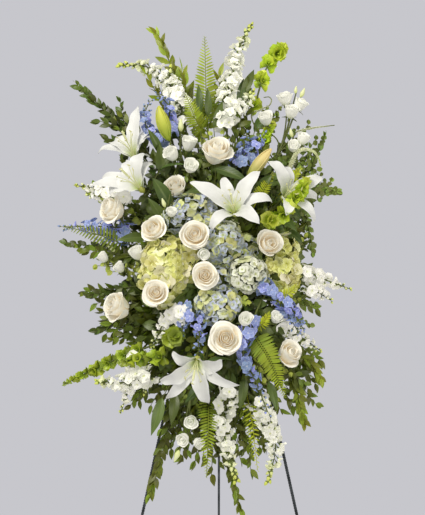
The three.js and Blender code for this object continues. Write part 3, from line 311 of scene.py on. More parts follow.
LEAN = math.radians(10)
LEG_FOOT_X = 0.322
LEG_TOP_X = 0.013
LEG_LENGTH = 1.440
LEG_WIRE = 0.0041
LEG_TURNS = 58
RINGS_A_TURN = 8
FOOT_LIFT = 0.0008
HOOK_UP = 1.4043
HOOK_WIRE = 0.0028
HOOK_FRONT = -0.0213
HOOK_RISE = 0.012


def leaned(x, behind, up):
    """A place in the easel's own leaning plane: across, behind the plane, and up the legs."""
    sine, cosine = math.sin(LEAN), math.cos(LEAN)
    return EASEL_FOOT + Vector((x, behind * cosine + up * sine, up * cosine - behind * sine))


for name, side in (("leg_left", -1), ("leg_right", 1)):
    form = Form()
    foot = leaned(side * LEG_FOOT_X, 0, 0)
    foot.z += FOOT_LIFT
    top = leaned(side * LEG_TOP_X, 0, LEG_LENGTH)
    rings = LEG_TURNS * RINGS_A_TURN
    rod(form, [foot.lerp(top, k / rings) for k in range(rings + 1)], [LEG_WIRE], wire, 4, LEG_TURNS)
    hook_x = side * (LEG_FOOT_X + (LEG_TOP_X - LEG_FOOT_X) * HOOK_UP / LEG_LENGTH)
    hook = ((0, HOOK_UP), (HOOK_FRONT + HOOK_WIRE, HOOK_UP), (HOOK_FRONT, HOOK_UP + HOOK_RISE))
    rod(form, smooth_line([leaned(hook_x, *place) for place in hook]), [HOOK_WIRE], wire, 10)
    finished(form, f"{name}_twisted", name, smooth=False)

coat("head_bracket", wire)
coat("back_leg", wire)


# The wet foam and its cage. The block is soaked green foam with fine open cells, crumbled where stems go in,
# and the cage is a moulded green plastic tray whose straps run round the block.
def maths(tree, kind, *values):
    return node(tree, "ShaderNodeMath", dict(enumerate(values)), operation=kind).outputs[0]


def blend(tree, factor, a, b):
    return node(tree, "ShaderNodeMix", {0: factor, 6: a, 7: b}, data_type="RGBA").outputs[2]


def fading(tree, value, start, end, low=0.0, high=1.0):
    """A value that goes from low to high while another goes from start to end."""
    inputs = {"Value": value, "From Min": start, "From Max": end, "To Min": low, "To Max": high}
    return node(tree, "ShaderNodeMapRange", inputs, interpolation_type="SMOOTHSTEP").outputs[0]


# The sunken cells between the raised ribs are painted a darker green: painted shade in the recesses.
SUNKEN_CELL_SHADE = (0.012, 0.040, 0.020, 1.0)
RIB_SPACING = 0.022
RIB_FROM, RIB_FULL = 0.0080, 0.0090

plastic, tree, shader = new_finish("green cage plastic", 0.42)
scuffed = ramp(tree, object_noise(tree, 45), [(0.3, (0.022, 0.075, 0.035)), (0.75, (0.045, 0.125, 0.06))])
place = node(tree, "ShaderNodeTexCoord").outputs["Object"]
sides = node(tree, "ShaderNodeSeparateXYZ", {0: place}).outputs
waves = [maths(tree, "PINGPONG", sides[side], RIB_SPACING / 2) for side in ("X", "Z")]
ribs = maths(tree, "MAXIMUM", *[fading(tree, wave, RIB_FROM, RIB_FULL) for wave in waves])
# Darker sunken cells, painted shade, between the lighter raised ribs.
tree.links.new(blend(tree, ribs, SUNKEN_CELL_SHADE, scuffed), shader.inputs["Base Color"])
add_bump(tree, shader, ribs, 0.002)
coat("foam_cage", plastic)

foam, tree, shader = new_finish("soaked floral foam", 0.95)
crumbs = ramp(tree, object_noise(tree, 90, 6), [(0.3, (0.018, 0.05, 0.02)), (0.7, (0.06, 0.13, 0.055))])
tree.links.new(crumbs, shader.inputs["Base Color"])
cells = node(tree, "ShaderNodeTexVoronoi", {"Scale": 700.0})
add_bump(tree, shader, cells.outputs["Distance"], 0.0006)
coat("foam_block", foam)


# Roses. Each ivory head is a tight spiral of petals inside whorls that open and roll back at the rim, on a
# green calyx and a smooth stem pushed into the foam.
dice = random.Random(14)


def spot(x, up, forward):
    """A place across from the easel's middle, above the floor, and in front of the plane that its legs lean
    in."""
    return EASEL_FOOT + Vector((x, up * math.tan(LEAN) - forward, up))


def heading(x, up, forward):
    """The direction that goes so far across, up and to the front."""
    return Vector((x, -forward, up)).normalized()


def colour_group(name, sockets):
    """A group of shader nodes that gives a colour and a height, with its inputs declared."""
    tree = bpy.data.node_groups.new(name, "ShaderNodeTree")
    for socket, value in sockets:
        kind = "NodeSocketFloat" if isinstance(value, float) else "NodeSocketColor"
        tree.interface.new_socket(socket, in_out="INPUT", socket_type=kind).default_value = value
    tree.interface.new_socket("Color", in_out="OUTPUT", socket_type="NodeSocketColor")
    tree.interface.new_socket("Height", in_out="OUTPUT", socket_type="NodeSocketFloat")
    return tree, node(tree, "NodeGroupInput").outputs


def mark_value(tree, name):
    return node(tree, "ShaderNodeAttribute", attribute_name=name).outputs["Fac"]


def own_shade(tree, colour, variety, hue, speckle=0.0):
    """A colour that differs in hue and brightness from one petal or leaf to the next."""
    shift = maths(tree, "MULTIPLY", maths(tree, "SUBTRACT", mark_value(tree, "tone"), 0.5), variety)
    return node(tree, "ShaderNodeHueSaturation", {
        "Hue": maths(tree, "ADD", 0.5, maths(tree, "MULTIPLY", shift, hue)),
        "Value": maths(tree, "ADD", 1.0, maths(tree, "ADD", shift, speckle)),
        "Color": colour,
    }).outputs[0]


WHITE = (1.0, 1.0, 1.0, 1.0)
PETAL_COLOURS, given = colour_group("petal colours", (
    ("Root", WHITE), ("Face", WHITE), ("Edge", WHITE), ("Bud", WHITE), ("Root Reach", 0.4),
    ("Edge Width", 0.2), ("Bud From", 0.6), ("Variety", 0.2), ("Veins", 9.0)))
tree = PETAL_COLOURS
mottle = object_noise(tree, 70)
at_root = fading(tree, mark_value(tree, "along"), 0.0, given["Root Reach"], 1.0, 0.0)
patchy = maths(tree, "MULTIPLY", at_root, maths(tree, "ADD", 0.6, maths(tree, "MULTIPLY", mottle, 0.8)))
at_edge = fading(tree, mark_value(tree, "across"), maths(tree, "SUBTRACT", 1.0, given["Edge Width"]), 1.0)
colour = blend(tree, at_edge, blend(tree, patchy, given["Face"], given["Root"]), given["Edge"])
colour = blend(tree, fading(tree, mark_value(tree, "rise"), given["Bud From"], 1.0), colour, given["Bud"])
speckle = maths(tree, "MULTIPLY", maths(tree, "SUBTRACT", mottle, 0.5), 0.12)
turns = maths(tree, "MULTIPLY", given["Veins"], math.pi)
lines = maths(tree, "SINE", maths(tree, "MULTIPLY", mark_value(tree, "across"), turns))
height = maths(tree, "ADD", maths(tree, "MULTIPLY", lines, 0.35), object_noise(tree, 400))
colour = own_shade(tree, colour, given["Variety"], 0.08, speckle)
node(tree, "NodeGroupOutput", {"Color": colour, "Height": height})


def petal_finish(name, root, face, edge, bud=None, reach=0.4, edge_width=0.2, bud_from=0.6, variety=0.2,
                 veins=9.0, painted_glow=0.12, roughness=0.55):
    """A petal's material: its colours at the root, over its face, at its edge and in bud, and its painted
    glow:
    an emission in its own colour that lifts its shade, standing in for light that comes through the petal."""
    made, tree, shader = new_finish(name, roughness, Emission_Strength=painted_glow)
    group = node(tree, "ShaderNodeGroup", {
        "Root": (*root, 1), "Face": (*face, 1), "Edge": (*edge, 1), "Bud": (*(bud or face), 1),
        "Root Reach": reach, "Edge Width": edge_width, "Bud From": bud_from, "Variety": variety,
        "Veins": veins,
    }, node_tree=PETAL_COLOURS)
    tree.links.new(group.outputs["Color"], shader.inputs["Base Color"])
    # Painted glow: the petal's own colour is also emitted, which lifts its shade as light through it would.
    tree.links.new(group.outputs["Color"], shader.inputs["Emission Color"])
    add_bump(tree, shader, group.outputs["Height"], 0.0004, 0.5)
    return made


LEAF_COLOURS, given = colour_group(
    "leaf colours", (("Old", WHITE), ("Young", WHITE), ("Rib", WHITE), ("Variety", 0.5)))
tree = LEAF_COLOURS
patches = maths(tree, "MULTIPLY", maths(tree, "SUBTRACT", object_noise(tree, 25), 0.5), 0.9)
age = maths(tree, "ADD", maths(tree, "MULTIPLY", mark_value(tree, "rise"), 0.75), patches)
blade = blend(tree, node(tree, "ShaderNodeClamp", {0: age}).outputs[0], given["Old"], given["Young"])
on_rib = fading(tree, mark_value(tree, "across"), 0.05, 0.22, 0.7, 0.0)
slant = maths(tree, "SUBTRACT", maths(tree, "MULTIPLY", mark_value(tree, "along"), 60.0),
              maths(tree, "MULTIPLY", mark_value(tree, "across"), 12.0))
height = maths(tree, "ADD", maths(tree, "MULTIPLY", maths(tree, "SINE", slant), 0.4), on_rib)
colour = own_shade(tree, blend(tree, on_rib, blade, given["Rib"]), given["Variety"], 0.05)
node(tree, "NodeGroupOutput", {"Color": colour, "Height": height})


def leaf_finish(name, old, young, rib, variety=0.5, roughness=0.42):
    """A leaf's material: waxy, with its colours when old and young, and its rib's."""
    made, tree, shader = new_finish(name, roughness, Specular_IOR_Level=0.35)
    group = node(tree, "ShaderNodeGroup", {
        "Old": (*old, 1), "Young": (*young, 1), "Rib": (*rib, 1), "Variety": variety}, node_tree=LEAF_COLOURS)
    tree.links.new(group.outputs["Color"], shader.inputs["Base Color"])
    add_bump(tree, shader, group.outputs["Height"], 0.0003, 0.4)
    return made


stem_green = leaf_finish("stem green", (0.075, 0.105, 0.018), (0.19, 0.24, 0.045), (0.12, 0.16, 0.03),
                         roughness=0.5)


def sheet(form, grid, thick, finish, place=None, wrap=False, shade=1.0, **marks):
    """A petal or leaf as a thin closed solid, from a grid of points whose rows run from root to tip. Shade
    over 1 draws the colour of its root farther up, and under 1 less far."""
    rows, columns = grid.shape[:2]
    if wrap:
        step = np.roll(grid, -1, axis=1) - np.roll(grid, 1, axis=1)
    else:
        step = np.gradient(grid, axis=1)
    normal = np.cross(np.gradient(grid, axis=0), step)
    normal /= np.linalg.norm(normal, axis=2, keepdims=True) + 1e-12
    rim = np.zeros((rows, columns), bool)
    rim[0] = rim[-1] = True
    if not wrap:
        rim[:, 0] = rim[:, -1] = True
    upper = grid + normal * (thick / 2) * ~rim[..., None]
    lower = (grid - normal * (thick / 2))[~rim]
    upper_index = np.arange(rows * columns).reshape(rows, columns)
    lower_index = upper_index.copy()
    lower_index[~rim] = rows * columns + np.arange(len(lower))
    faces = []
    for index, flip in ((upper_index, False), (lower_index, True)):
        here, beyond = index[:-1], index[1:]
        if wrap:
            corners = [here, beyond, np.roll(beyond, -1, axis=1), np.roll(here, -1, axis=1)]
        else:
            corners = [here[:, :-1], beyond[:, :-1], beyond[:, 1:], here[:, 1:]]
        quads = np.stack(corners, axis=-1).reshape(-1, 4)
        faces.append(quads[:, ::-1] if flip else quads)
    points = np.concatenate([upper.reshape(-1, 3), lower])
    if place is not None:
        turn = np.array(place)
        points = points @ turn[:3, :3].T + turn[:3, 3]
    along = np.repeat(np.linspace(0, 1, rows) ** shade, columns)
    edge = np.zeros(columns) if wrap else np.abs(np.linspace(-1, 1, columns))
    across = np.tile(edge, rows)
    inner = ~rim.ravel()
    marks.setdefault("along", np.concatenate([along, along[inner]]))
    marks.setdefault("across", np.concatenate([across, across[inner]]))
    form.add(points, np.concatenate(faces), finish, **marks)


def frame_at(origin, along, upper):
    """A place with +Z along one direction and +Y as near as it can be to another."""
    z = Vector(along).normalized()
    y = Vector(upper)
    y = (y - z * y.dot(z)).normalized()
    made = Matrix((y.cross(z), y, z)).transposed().to_4x4()
    made.translation = origin
    return made


def facing(origin, direction, roll=0.0):
    """A place whose +Z is the way that a bloom faces."""
    front = Vector((0, -1, 0))
    if abs(direction.dot(front)) > 0.99:
        front = Vector((0, 0, 1))
    return frame_at(origin, direction, front) @ Matrix.Rotation(roll, 4, "Z")


FOAM_MIDDLE = 1.190
CUT_END_ACROSS = 0.22
CUT_END_UP = 0.26


def stem_from_foam(start, aside=0.0, up=0.0, deep=0.042):
    """A stem's two ends: its cut end in the foam, nearer the block's middle, and where it leads."""
    cut_up = FOAM_MIDDLE + CUT_END_UP * (start[1] - FOAM_MIDDLE) + up
    return [spot(CUT_END_ACROSS * start[0] + aside, cut_up, deep), spot(*start)]


def petal_grid(length, half, rows, columns, width, slope,
               cup=0.0, fold=0.0, ruffle=0.0, waves=3.0, phase=0.0):
    """A petal or leaf along +Z with its upper face to +Y. Width and slope are functions of the share of the
    length; cup and fold lift the edges, and ruffle waves them."""
    t = np.linspace(0, 1, rows)
    s = np.linspace(-1, 1, columns)
    middle = (t[1:] + t[:-1]) / 2
    angle = slope(middle) + np.zeros(rows - 1)
    step = length / (rows - 1)
    y = np.concatenate([[0], np.cumsum(np.sin(angle)) * step])
    z = np.concatenate([[0], np.cumsum(np.cos(angle)) * step])
    here = np.interp(t, middle, angle)[:, None]
    reach = half * np.maximum(width(t), 0.03)[:, None]
    wave = np.sin(2 * math.pi * waves * t[:, None] + phase + (s > 0) * 1.9) * np.abs(s) ** 2.5
    lift = reach * (cup * s**2 + fold * np.abs(s)) + ruffle * half * wave
    return np.stack([reach * s, y[:, None] + lift * np.cos(here), z[:, None] - lift * np.sin(here)], axis=-1)


def leaf_width(widest=0.42, sharp=1.0):
    """The outline of a leaf that is widest at a share of its length."""
    power = math.log(0.5) / math.log(widest)
    return lambda t: np.sin(math.pi * np.clip(t, 0, 1) ** power) ** sharp


# The peach root colour is partly the rose's warm centre and partly painted shade in the creases of the
# whorls.
rose_petal = petal_finish("ivory rose petal", (0.84, 0.69, 0.42), (0.86, 0.84, 0.76), (0.87, 0.86, 0.80),
                          reach=1.0, edge_width=0.35, variety=0.06, painted_glow=0.10)

ROSE_WHORLS = (
    # petals, rim radius, rim height, roll of the rim, half width in degrees, fall of the rim to the sides,
    # shade, how far up the peach root and its painted crease shade reach; sizes are shares of the width
    (3, 0.045, 0.150, 0.004, 85, 0.10, 2.6),
    (3, 0.098, 0.165, 0.012, 82, 0.14, 2.4),
    (3, 0.152, 0.182, 0.025, 78, 0.16, 1.9),
    (4, 0.208, 0.180, 0.050, 64, 0.18, 1.5),
    (4, 0.260, 0.140, 0.085, 66, 0.20, 1.1),
    (5, 0.312, 0.080, 0.120, 56, 0.22, 0.9),
    (4, 0.355, 0.000, 0.140, 60, 0.26, 0.7),
)
HALF_OPEN_WHORLS = (
    (3, 0.050, 0.270, 0.003, 85, 0.10, 2.2),
    (3, 0.115, 0.300, 0.015, 82, 0.16, 1.8),
    (3, 0.185, 0.310, 0.040, 80, 0.24, 1.3),
    (3, 0.250, 0.265, 0.090, 76, 0.32, 0.9),
    (3, 0.290, 0.165, 0.150, 70, 0.36, 0.7),
)
CORE_PETAL = 0.0008
PETAL = 0.0011
SEPALS = 5
SEPAL_OUT = 0.25


def cupped_petal(width, radius, height, roll, half_angle, turn, fall, ruffle):
    """A petal that wraps part of the way round the head, and rolls out at its rim to a soft point."""
    u = np.linspace(-1, 1, 9)[None, :]
    v = np.linspace(0, 1, 9)[:, None]
    w = v * (1 - fall * np.abs(u) ** 2.2)
    start, first, second, rim = (1 - w) ** 3, 3 * w * (1 - w) ** 2, 3 * w**2 * (1 - w), w**3
    reach = 0.045 * start + (radius + 0.03) * first + (radius * 1.12 + 0.012) * second + (radius + roll) * rim
    rise = -0.34 * start - 0.30 * first + (height - 0.02) * second + (height - roll * 0.55) * rim
    point = 0.2 * roll * np.exp(-((u / 0.35) ** 2)) * w**6
    reach = reach * (1 + 0.07 * u) + 0.3 * roll * np.abs(u) ** 3 * w**4 + point
    rise = rise + ruffle * np.sin(5 * u + turn * 3) * rim
    reach = reach + 0.7 * ruffle * np.sin(7 * u + turn * 5) * rim
    angle = turn + math.radians(half_angle) * u * (0.35 + 0.65 * np.minimum(1, 1.6 * v))
    return np.stack([reach * np.cos(angle), reach * np.sin(angle), rise + 0 * angle], axis=-1) * width


def add_cupped_bloom(form, at, face, width, whorls, finish, ruffle=0.012, loose=0.09):
    """A bloom of whorls of cupped petals round a rolled core, on its sepals. Loose ones lean more."""
    place = facing(spot(*at), heading(*face), at[0] * 9)
    turns = np.linspace(0, 1, 30)[None, :]
    levels = np.linspace(0, 1, 5)[:, None]
    angle = 2 * math.pi * 2.1 * turns
    reach = 0.006 + 0.040 * turns + 0.012 * (1 - levels)
    rise = -0.16 + (0.36 + 0.02 * np.sin(9 * turns + at[1])) * levels
    core = np.stack([reach * np.cos(angle), reach * np.sin(angle), rise + 0 * angle], axis=-1) * width
    sheet(form, core, CORE_PETAL, finish, place, shade=3.0, tone=0.3)
    for k, (count, radius, height, roll, half_angle, fall, shade) in enumerate(whorls):
        for i in range(count):
            lean = Matrix.Rotation(dice.uniform(-loose, loose), 4, "X")
            lean = lean @ Matrix.Rotation(dice.uniform(-loose, loose), 4, "Y")
            turn = 2 * math.pi * (i + 0.37 * k) / count + dice.uniform(-0.35, 0.35)
            rim = (radius * dice.uniform(0.90, 1.08), height + dice.uniform(-0.025, 0.02),
                   roll * dice.uniform(0.6, 1.4))
            grid = cupped_petal(width, *rim, half_angle, turn, fall, ruffle)
            sheet(form, grid, PETAL, finish, place @ lean, shade=shade, tone=dice.random())
    sepal = petal_grid(0.42 * width, 0.07 * width, 6, 3, lambda t: np.sin(math.pi * (0.25 + 0.72 * t)),
                       lambda t: -1.1 - 0.6 * t)
    foot = Matrix.Translation((0, -0.02 * width, -0.33 * width))
    for i in range(SEPALS):
        out = Matrix.Rotation(2 * math.pi * i / SEPALS, 4, "Z") @ foot
        sheet(form, sepal, 0.001, stem_green, place @ out @ Matrix.Rotation(SEPAL_OUT, 4, "X"))


ROSES = {
    # place of the bloom, the way it faces, width, its petals, and how its stem goes into the foam
    "rose_1": ((-0.008, 1.500, 0.150), (0.12, 0.70, 0.70), 0.098, HALF_OPEN_WHORLS, {}),
    "rose_2": (
        (-0.110, 1.412, 0.125), (-0.3, 0.50, 0.80), 0.074, HALF_OPEN_WHORLS,
        {"aside": 0.014, "up": 0.012, "deep": 0.050}),
    "rose_3": ((-0.268, 1.356, 0.110), (-0.72, 0.40, 0.55), 0.086, HALF_OPEN_WHORLS, {}),
    "rose_4": ((-0.252, 1.114, 0.110), (-0.70, 0.35, 0.62), 0.092, HALF_OPEN_WHORLS, {}),
    "rose_5": ((-0.155, 1.152, 0.200), (-0.05, 0.25, 0.97), 0.068, ROSE_WHORLS, {}),
    "rose_6": ((-0.060, 1.292, 0.200), (-0.1, 0.30, 0.93), 0.080, ROSE_WHORLS, {}),
    "rose_7": ((-0.035, 1.193, 0.205), (0.05, 0.10, 1), 0.070, ROSE_WHORLS, {}),
    "rose_8": ((-0.160, 1.305, 0.165), (-0.35, 0.40, 0.87), 0.076, HALF_OPEN_WHORLS, {}),
    "rose_9": ((0.118, 1.268, 0.190), (0.35, 0.25, 0.88), 0.082, HALF_OPEN_WHORLS, {}),
    "rose_10": ((0.015, 1.042, 0.190), (0, 0.25, 0.96), 0.080, ROSE_WHORLS, {}),
    "rose_11": (
        (0.168, 1.000, 0.120), (0.55, 0.35, 0.75), 0.080, HALF_OPEN_WHORLS, {"up": 0.006, "deep": 0.054}),
}
ROSE_STEM = 0.0028

for name, (at, face, width, whorls, root) in ROSES.items():
    form = Form()
    add_cupped_bloom(form, at, face, width, whorls, rose_petal, loose=0.12)
    cut_end, _ = stem_from_foam(at, **root)
    below = [spot(*at) - heading(*face) * share * width for share in (0.7, 0.3)]
    rod(form, smooth_line([cut_end, *below]), [ROSE_STEM], stem_green, 8)
    finished(form, f"{name}_petals", name)


# Lilies. Each stem carries white blooms of six long petals that roll back, ruffled at the edge and ribbed
# green in the throat, with six filaments and a pistil, and pointed buds and long leaves on shoots of their
# own.
lily_petal = petal_finish("white lily petal", (0.52, 0.60, 0.22), (0.68, 0.69, 0.68), (0.72, 0.73, 0.73),
                          reach=0.34, edge_width=0.3, variety=0.05, veins=7.0, painted_glow=0.07, roughness=0.5)
lily_filament = petal_finish("lily filament", (0.64, 0.70, 0.34), (0.72, 0.76, 0.42), (0.72, 0.76, 0.42))
lily_anther = petal_finish("lily anther", (0.50, 0.52, 0.22), (0.58, 0.58, 0.28), (0.58, 0.58, 0.28))
lily_bud_skin = petal_finish("blushing lily bud", (0.36, 0.40, 0.07), (0.72, 0.60, 0.25), (0.78, 0.58, 0.34),
                             reach=0.8, edge_width=0.2, variety=0.1, veins=3.0, painted_glow=0.04)
green_bud_skin = petal_finish("green lily bud", (0.30, 0.40, 0.03), (0.55, 0.58, 0.08), (0.6, 0.6, 0.12),
                              reach=0.9, edge_width=0.2, variety=0.1, veins=3.0, painted_glow=0.04)
lily_leaf = leaf_finish("lily leaf green", (0.055, 0.095, 0.020), (0.16, 0.215, 0.045), (0.13, 0.18, 0.05),
                        roughness=0.36)

ANTHER = 0.0017
LILY_PETAL = 0.0013


def add_lily_bloom(form, at, face, reach, petals):
    """A bloom of six petals, the odd ones broad. Each has its angle as seen from the front, its share of the
    reach and its curl."""
    direction = heading(*face)
    base = spot(*at)
    place = facing(base, direction)
    for i, (angle, long, curl) in enumerate(petals):
        inner = i % 2
        aim = Vector((math.cos(math.radians(angle)), 0, math.sin(math.radians(angle))))
        out = (aim - direction * aim.dot(direction)).normalized()
        root = base + out * 0.005 + direction * (0.002 if inner else -0.004)
        own = frame_at(root, direction + out * 0.3, direction - out * 3)
        half = (0.180 if inner else 0.140) * reach
        open_wide = 1.0 if inner else 1.15

        def wide(t, sharp=0.72 if inner else 0.8):
            return np.maximum(np.sin(math.pi * np.clip(t, 0, 1) ** 0.92) ** sharp, 0.16 * (1 - t))

        def slope(t, curl=curl, open_wide=open_wide):
            return -open_wide * (0.15 + 0.5 * t + 1.2 * t * t) - 2.4 * (curl - 1) * np.maximum(t - 0.45, 0)

        grid = petal_grid(reach * 1.06 * long, half, 18, 9, wide, slope, cup=0.22, fold=0.05,
                          ruffle=0.13 if inner else 0.08, waves=3.2, phase=dice.uniform(0, 6))
        sheet(form, grid, LILY_PETAL, lily_petal, own, tone=dice.random())
    for i in range(6):
        angle = math.pi * (i + 0.5) / 3
        turned = place.to_3x3() @ Matrix.Rotation(angle, 3, "Z")
        out = turned @ Vector((1, 0, 0))
        tip = base + direction * 0.62 * reach + out * 0.20 * reach
        bend = base + direction * 0.33 * reach + out * 0.06 * reach
        line = smooth_line([base + out * 0.002, bend, tip], 5)
        rod(form, line, [0.0013, 0.0008], lily_filament, 5)
        swing = (turned @ Vector((0, 1, 0.5))).normalized() * 0.005
        anther = smooth_line([tip - swing, tip, tip + swing], 3)
        rod(form, anther, [0.4 * ANTHER, ANTHER, ANTHER, 0.4 * ANTHER], lily_anther, 5)
    pistil = smooth_line([base, base + direction * 0.4 * reach, base + direction * 0.76 * reach], 5)
    rod(form, pistil, [0.0022, 0.0013, 0.0013, 0.0032, 0.0026], lily_filament, 7)
    rod(form, [base + direction * share * reach for share in (-0.13, -0.05, 0.07)],
        [0.003, 0.0075, 0.0095, 0.004], lily_bud_skin, 9, along=0.0)


def add_lily_bud(form, at, face, length, width, skin):
    direction = heading(*face)
    base = spot(*at)
    line = [base + direction * length * share for share in np.linspace(-0.03, 1, 13)]
    rod(form, line, [width * share for share in (0.1, 0.27, 0.42, 0.5, 0.48, 0.4, 0.24, 0.06)], skin, 12)
    ridge_places = ((0.12, 0.0), (0.36, 0.16), (0.49, 0.4), (0.47, 0.62), (0.3, 0.86), (0.07, 0.99))
    for i in range(3):
        side = facing(base, direction, 2 * math.pi * i / 3)
        ridge = [side @ Vector((width * out, 0, length * share)) for out, share in ridge_places]
        rod(form, smooth_line(ridge, 4), [0.0008, 0.0024, 0.0022, 0.0008], skin, 5)


LILIES = {
    "lily_centre": {
        "start": (0.045, 1.365, 0.150),
        "blooms": [
            {"at": (0.036, 1.345, 0.200), "face": (-0.12, 0.5, 0.86),
             "reach": 0.112,
             "petals": ((108, 0.9, 1.0), (152, 1.15, 0.7), (-130, 0.9, 1.8), (-48, 0.95, 1.0), (8, 1.1, 1.6),
                        (53, 1.05, 0.8))}],
        "buds": [((0.072, 1.434, 0.150), (0.62, 0.78, 0.1), 0.092, 0.029, lily_bud_skin)],
        "leaves": [(0.66, (-0.75, 0.55, 0.35), 0.120, 0.015)],
    },
    "lily_right": {
        "start": (0.140, 1.365, 0.100),
        "blooms": [
            {"at": (0.160, 1.385, 0.155), "face": (0.35, 0.38, 0.85),
             "reach": 0.100,
             "petals": ((83, 0.9, 1.3), (27, 1.05, 0.8), (0, 1.0, 1.5), (-106, 0.75, 1.2), (-51, 1.15, 1.3),
                        (122, 1.1, 1.4))}],
        "leaves": [(0.66, (0.7, -0.3, 0.5), 0.080, 0.012)],
    },
    "lily_left": {
        "start": (-0.135, 1.450, 0.100),
        "blooms": [
            {"at": (-0.196, 1.407, 0.140), "face": (-0.50, 0.50, 0.70),
             "reach": 0.116,
             "petals": ((172, 1.08, 0.6), (84, 0.95, 1.9), (156, 0.98, 0.8), (190, 0.72, 1.2),
                        (60, 0.80, 2.0), (122, 0.70, 0.9))},
            {"at": (-0.216, 1.492, 0.075), "face": (-0.35, 0.75, 0.55),
             "reach": 0.108,
             "petals": ((161, 0.98, 1.0), (91, 1.16, 0.3), (63, 0.80, 0.8), (134, 0.88, 1.9),
                        (112, 0.80, 1.0), (40, 0.60, 1.0))}],
        "buds": [((-0.128, 1.534, 0.105), (-0.28, 0.95, 0.1), 0.090, 0.034, green_bud_skin)],
    },
    "lily_low": {
        "start": (-0.035, 0.985, 0.140),
        "blooms": [
            {"at": (-0.055, 0.990, 0.175), "face": (-0.1, -0.5, 0.85),
             "reach": 0.110,
             "petals": ((149, 0.7, 1.5), (-156, 0.95, 1.0), (-128, 1.12, 0.7), (-75, 1.0, 1.0),
                        (-20, 1.15, 0.8), (18, 0.75, 1.7))}],
        "leaves": [(0.66, (-0.8, -0.5, 0.3), 0.090, 0.013)],
    },
}
LILY_STEM = 0.0034
NECK = 0.014
LILY_SHOOT = 0.0026
BLADE = 0.0009

for name, lily in LILIES.items():
    form = Form()
    stem = stem_from_foam(lily["start"])
    ends = []
    for bloom in lily["blooms"]:
        add_lily_bloom(form, **bloom)
        ends.append((spot(*bloom["at"]), heading(*bloom["face"]), 0.13 * bloom["reach"]))
    for at, face, length, width, skin in lily.get("buds", ()):
        add_lily_bud(form, at, face, length, width, skin)
        ends.append((spot(*at), heading(*face), 0.0))
    for base, direction, back in ends:
        line = smooth_line([*stem, base - direction * (back + NECK), base - direction * back])
        rod(form, line, [LILY_STEM, LILY_SHOOT], stem_green, 8)
    main = smooth_line([*stem, ends[0][0] - ends[0][1] * NECK])
    grown = [(0.35 + 0.11 * k, (math.sin(2.4 * k), 0.5, math.cos(2.4 * k) * 0.7), 0.075, 0.010)
             for k in range(5)]
    for share, way, length, half in (*grown, *lily.get("leaves", ())):
        foot = Vector(main[int(share * (len(main) - 1))])
        leaf = petal_grid(length, half, 14, 5, leaf_width(0.38), lambda t: -0.75 * t, cup=0.1, fold=0.3,
                          ruffle=0.06, waves=1.3)
        own = frame_at(foot, heading(*way), (0, -0.5, 1))
        sheet(form, leaf, BLADE, lily_leaf, own, tone=dice.random(), rise=0.3)
    finished(form, f"{name}_flowers", name)


# Hydrangeas. Each round head is a crowd of florets of four broad overlapping sepals with a small button, on a
# branched core; the sepals are lime, pale blue or white, and no two florets have quite the same shade.
hydrangea_finishes = {
    "hydrangea_lime": petal_finish(
        "lime hydrangea sepal", (0.42, 0.41, 0.05), (0.64, 0.64, 0.20), (0.76, 0.76, 0.38),
        bud=(0.78, 0.75, 0.56), reach=0.55, edge_width=0.45, variety=0.35, veins=5.0, painted_glow=0.08),
    "hydrangea_blue": petal_finish(
        "blue hydrangea sepal", (0.44, 0.48, 0.17), (0.48, 0.54, 0.70), (0.64, 0.67, 0.75),
        bud=(0.64, 0.66, 0.26), reach=0.6, edge_width=0.45, bud_from=0.25, variety=0.4, veins=5.0, painted_glow=0.06),
    "hydrangea_white": petal_finish(
        "white hydrangea sepal", (0.44, 0.48, 0.17), (0.70, 0.72, 0.60), (0.78, 0.79, 0.72),
        bud=(0.54, 0.57, 0.30), reach=0.5, edge_width=0.45, variety=0.3, veins=5.0, painted_glow=0.07),
}

shelves = []


def shelf(name, shapes):
    """A collection that a tree of nodes picks its small shapes from, in this order, until the end."""
    made = bpy.data.collections.new(name)
    bpy.context.scene.collection.children.link(made)
    for k, form in enumerate(shapes):
        shape = form.object(f"{name} {k:02d}")
        bpy.context.collection.objects.unlink(shape)
        made.objects.link(shape)
    shelves.append(made)
    return made


THIN_PETAL = 0.0008
BUTTON = 0.002


def floret_width(t):
    """Half width along a floret's petal, as a share of the largest."""
    return np.interp(t, [0, 0.35, 0.75, 1], [0.3, 0.9, 1.0, 0.42])


def floret(petals, radius, depth, wide, flare, curl, cup=0.3, ruffle=0.0, inner=0):
    """A small open flower that faces +Z, on its own short stem."""
    form = Form()
    stalk = [(0, 0, depth * share) for share in (0, 0.4, 0.85)]
    rod(form, stalk, [0.0008, 0.0009, 0.0024], stem_green, 4, green=1.0)
    for count, reach, level, turned in ((petals, radius, 0.8, 0.0), (inner, 0.66 * radius, 0.92, 0.5)):
        for i in range(count):
            outline = petal_grid(
                reach, reach * wide, 4, 3, floret_width,
                lambda t: 0.2 - curl * t, cup=cup, ruffle=ruffle, waves=0.6, phase=2.1 * i)
            foot = frame_at((0.0008, 0, level * depth + 0.0005 * (i % 2)), (1, 0, flare), (0, 0, 1))
            turn = Matrix.Rotation(2 * math.pi * (i + turned) / count, 4, "Z") @ foot
            sheet(form, outline, THIN_PETAL, stem_green, turn)
    button = [(0, 0, depth * 0.8), (0, 0, depth * 0.8 + BUTTON)]
    rod(form, button, [0.8 * BUTTON, 0.6 * BUTTON], stem_green, 5, along=0.0)
    return form


def given_inputs(tree, sockets):
    """Declares a tree's named inputs and its one output. Gives the inputs' sockets and identifiers."""
    names = {}
    for name, kind, value in (("Geometry", "NodeSocketGeometry", None), *sockets):
        made = tree.interface.new_socket(name, in_out="INPUT", socket_type=kind)
        if value is not None:
            made.default_value = value
        names[name] = made.identifier
    tree.interface.new_socket("Geometry", in_out="OUTPUT", socket_type="NodeSocketGeometry")
    return node(tree, "NodeGroupInput").outputs, names


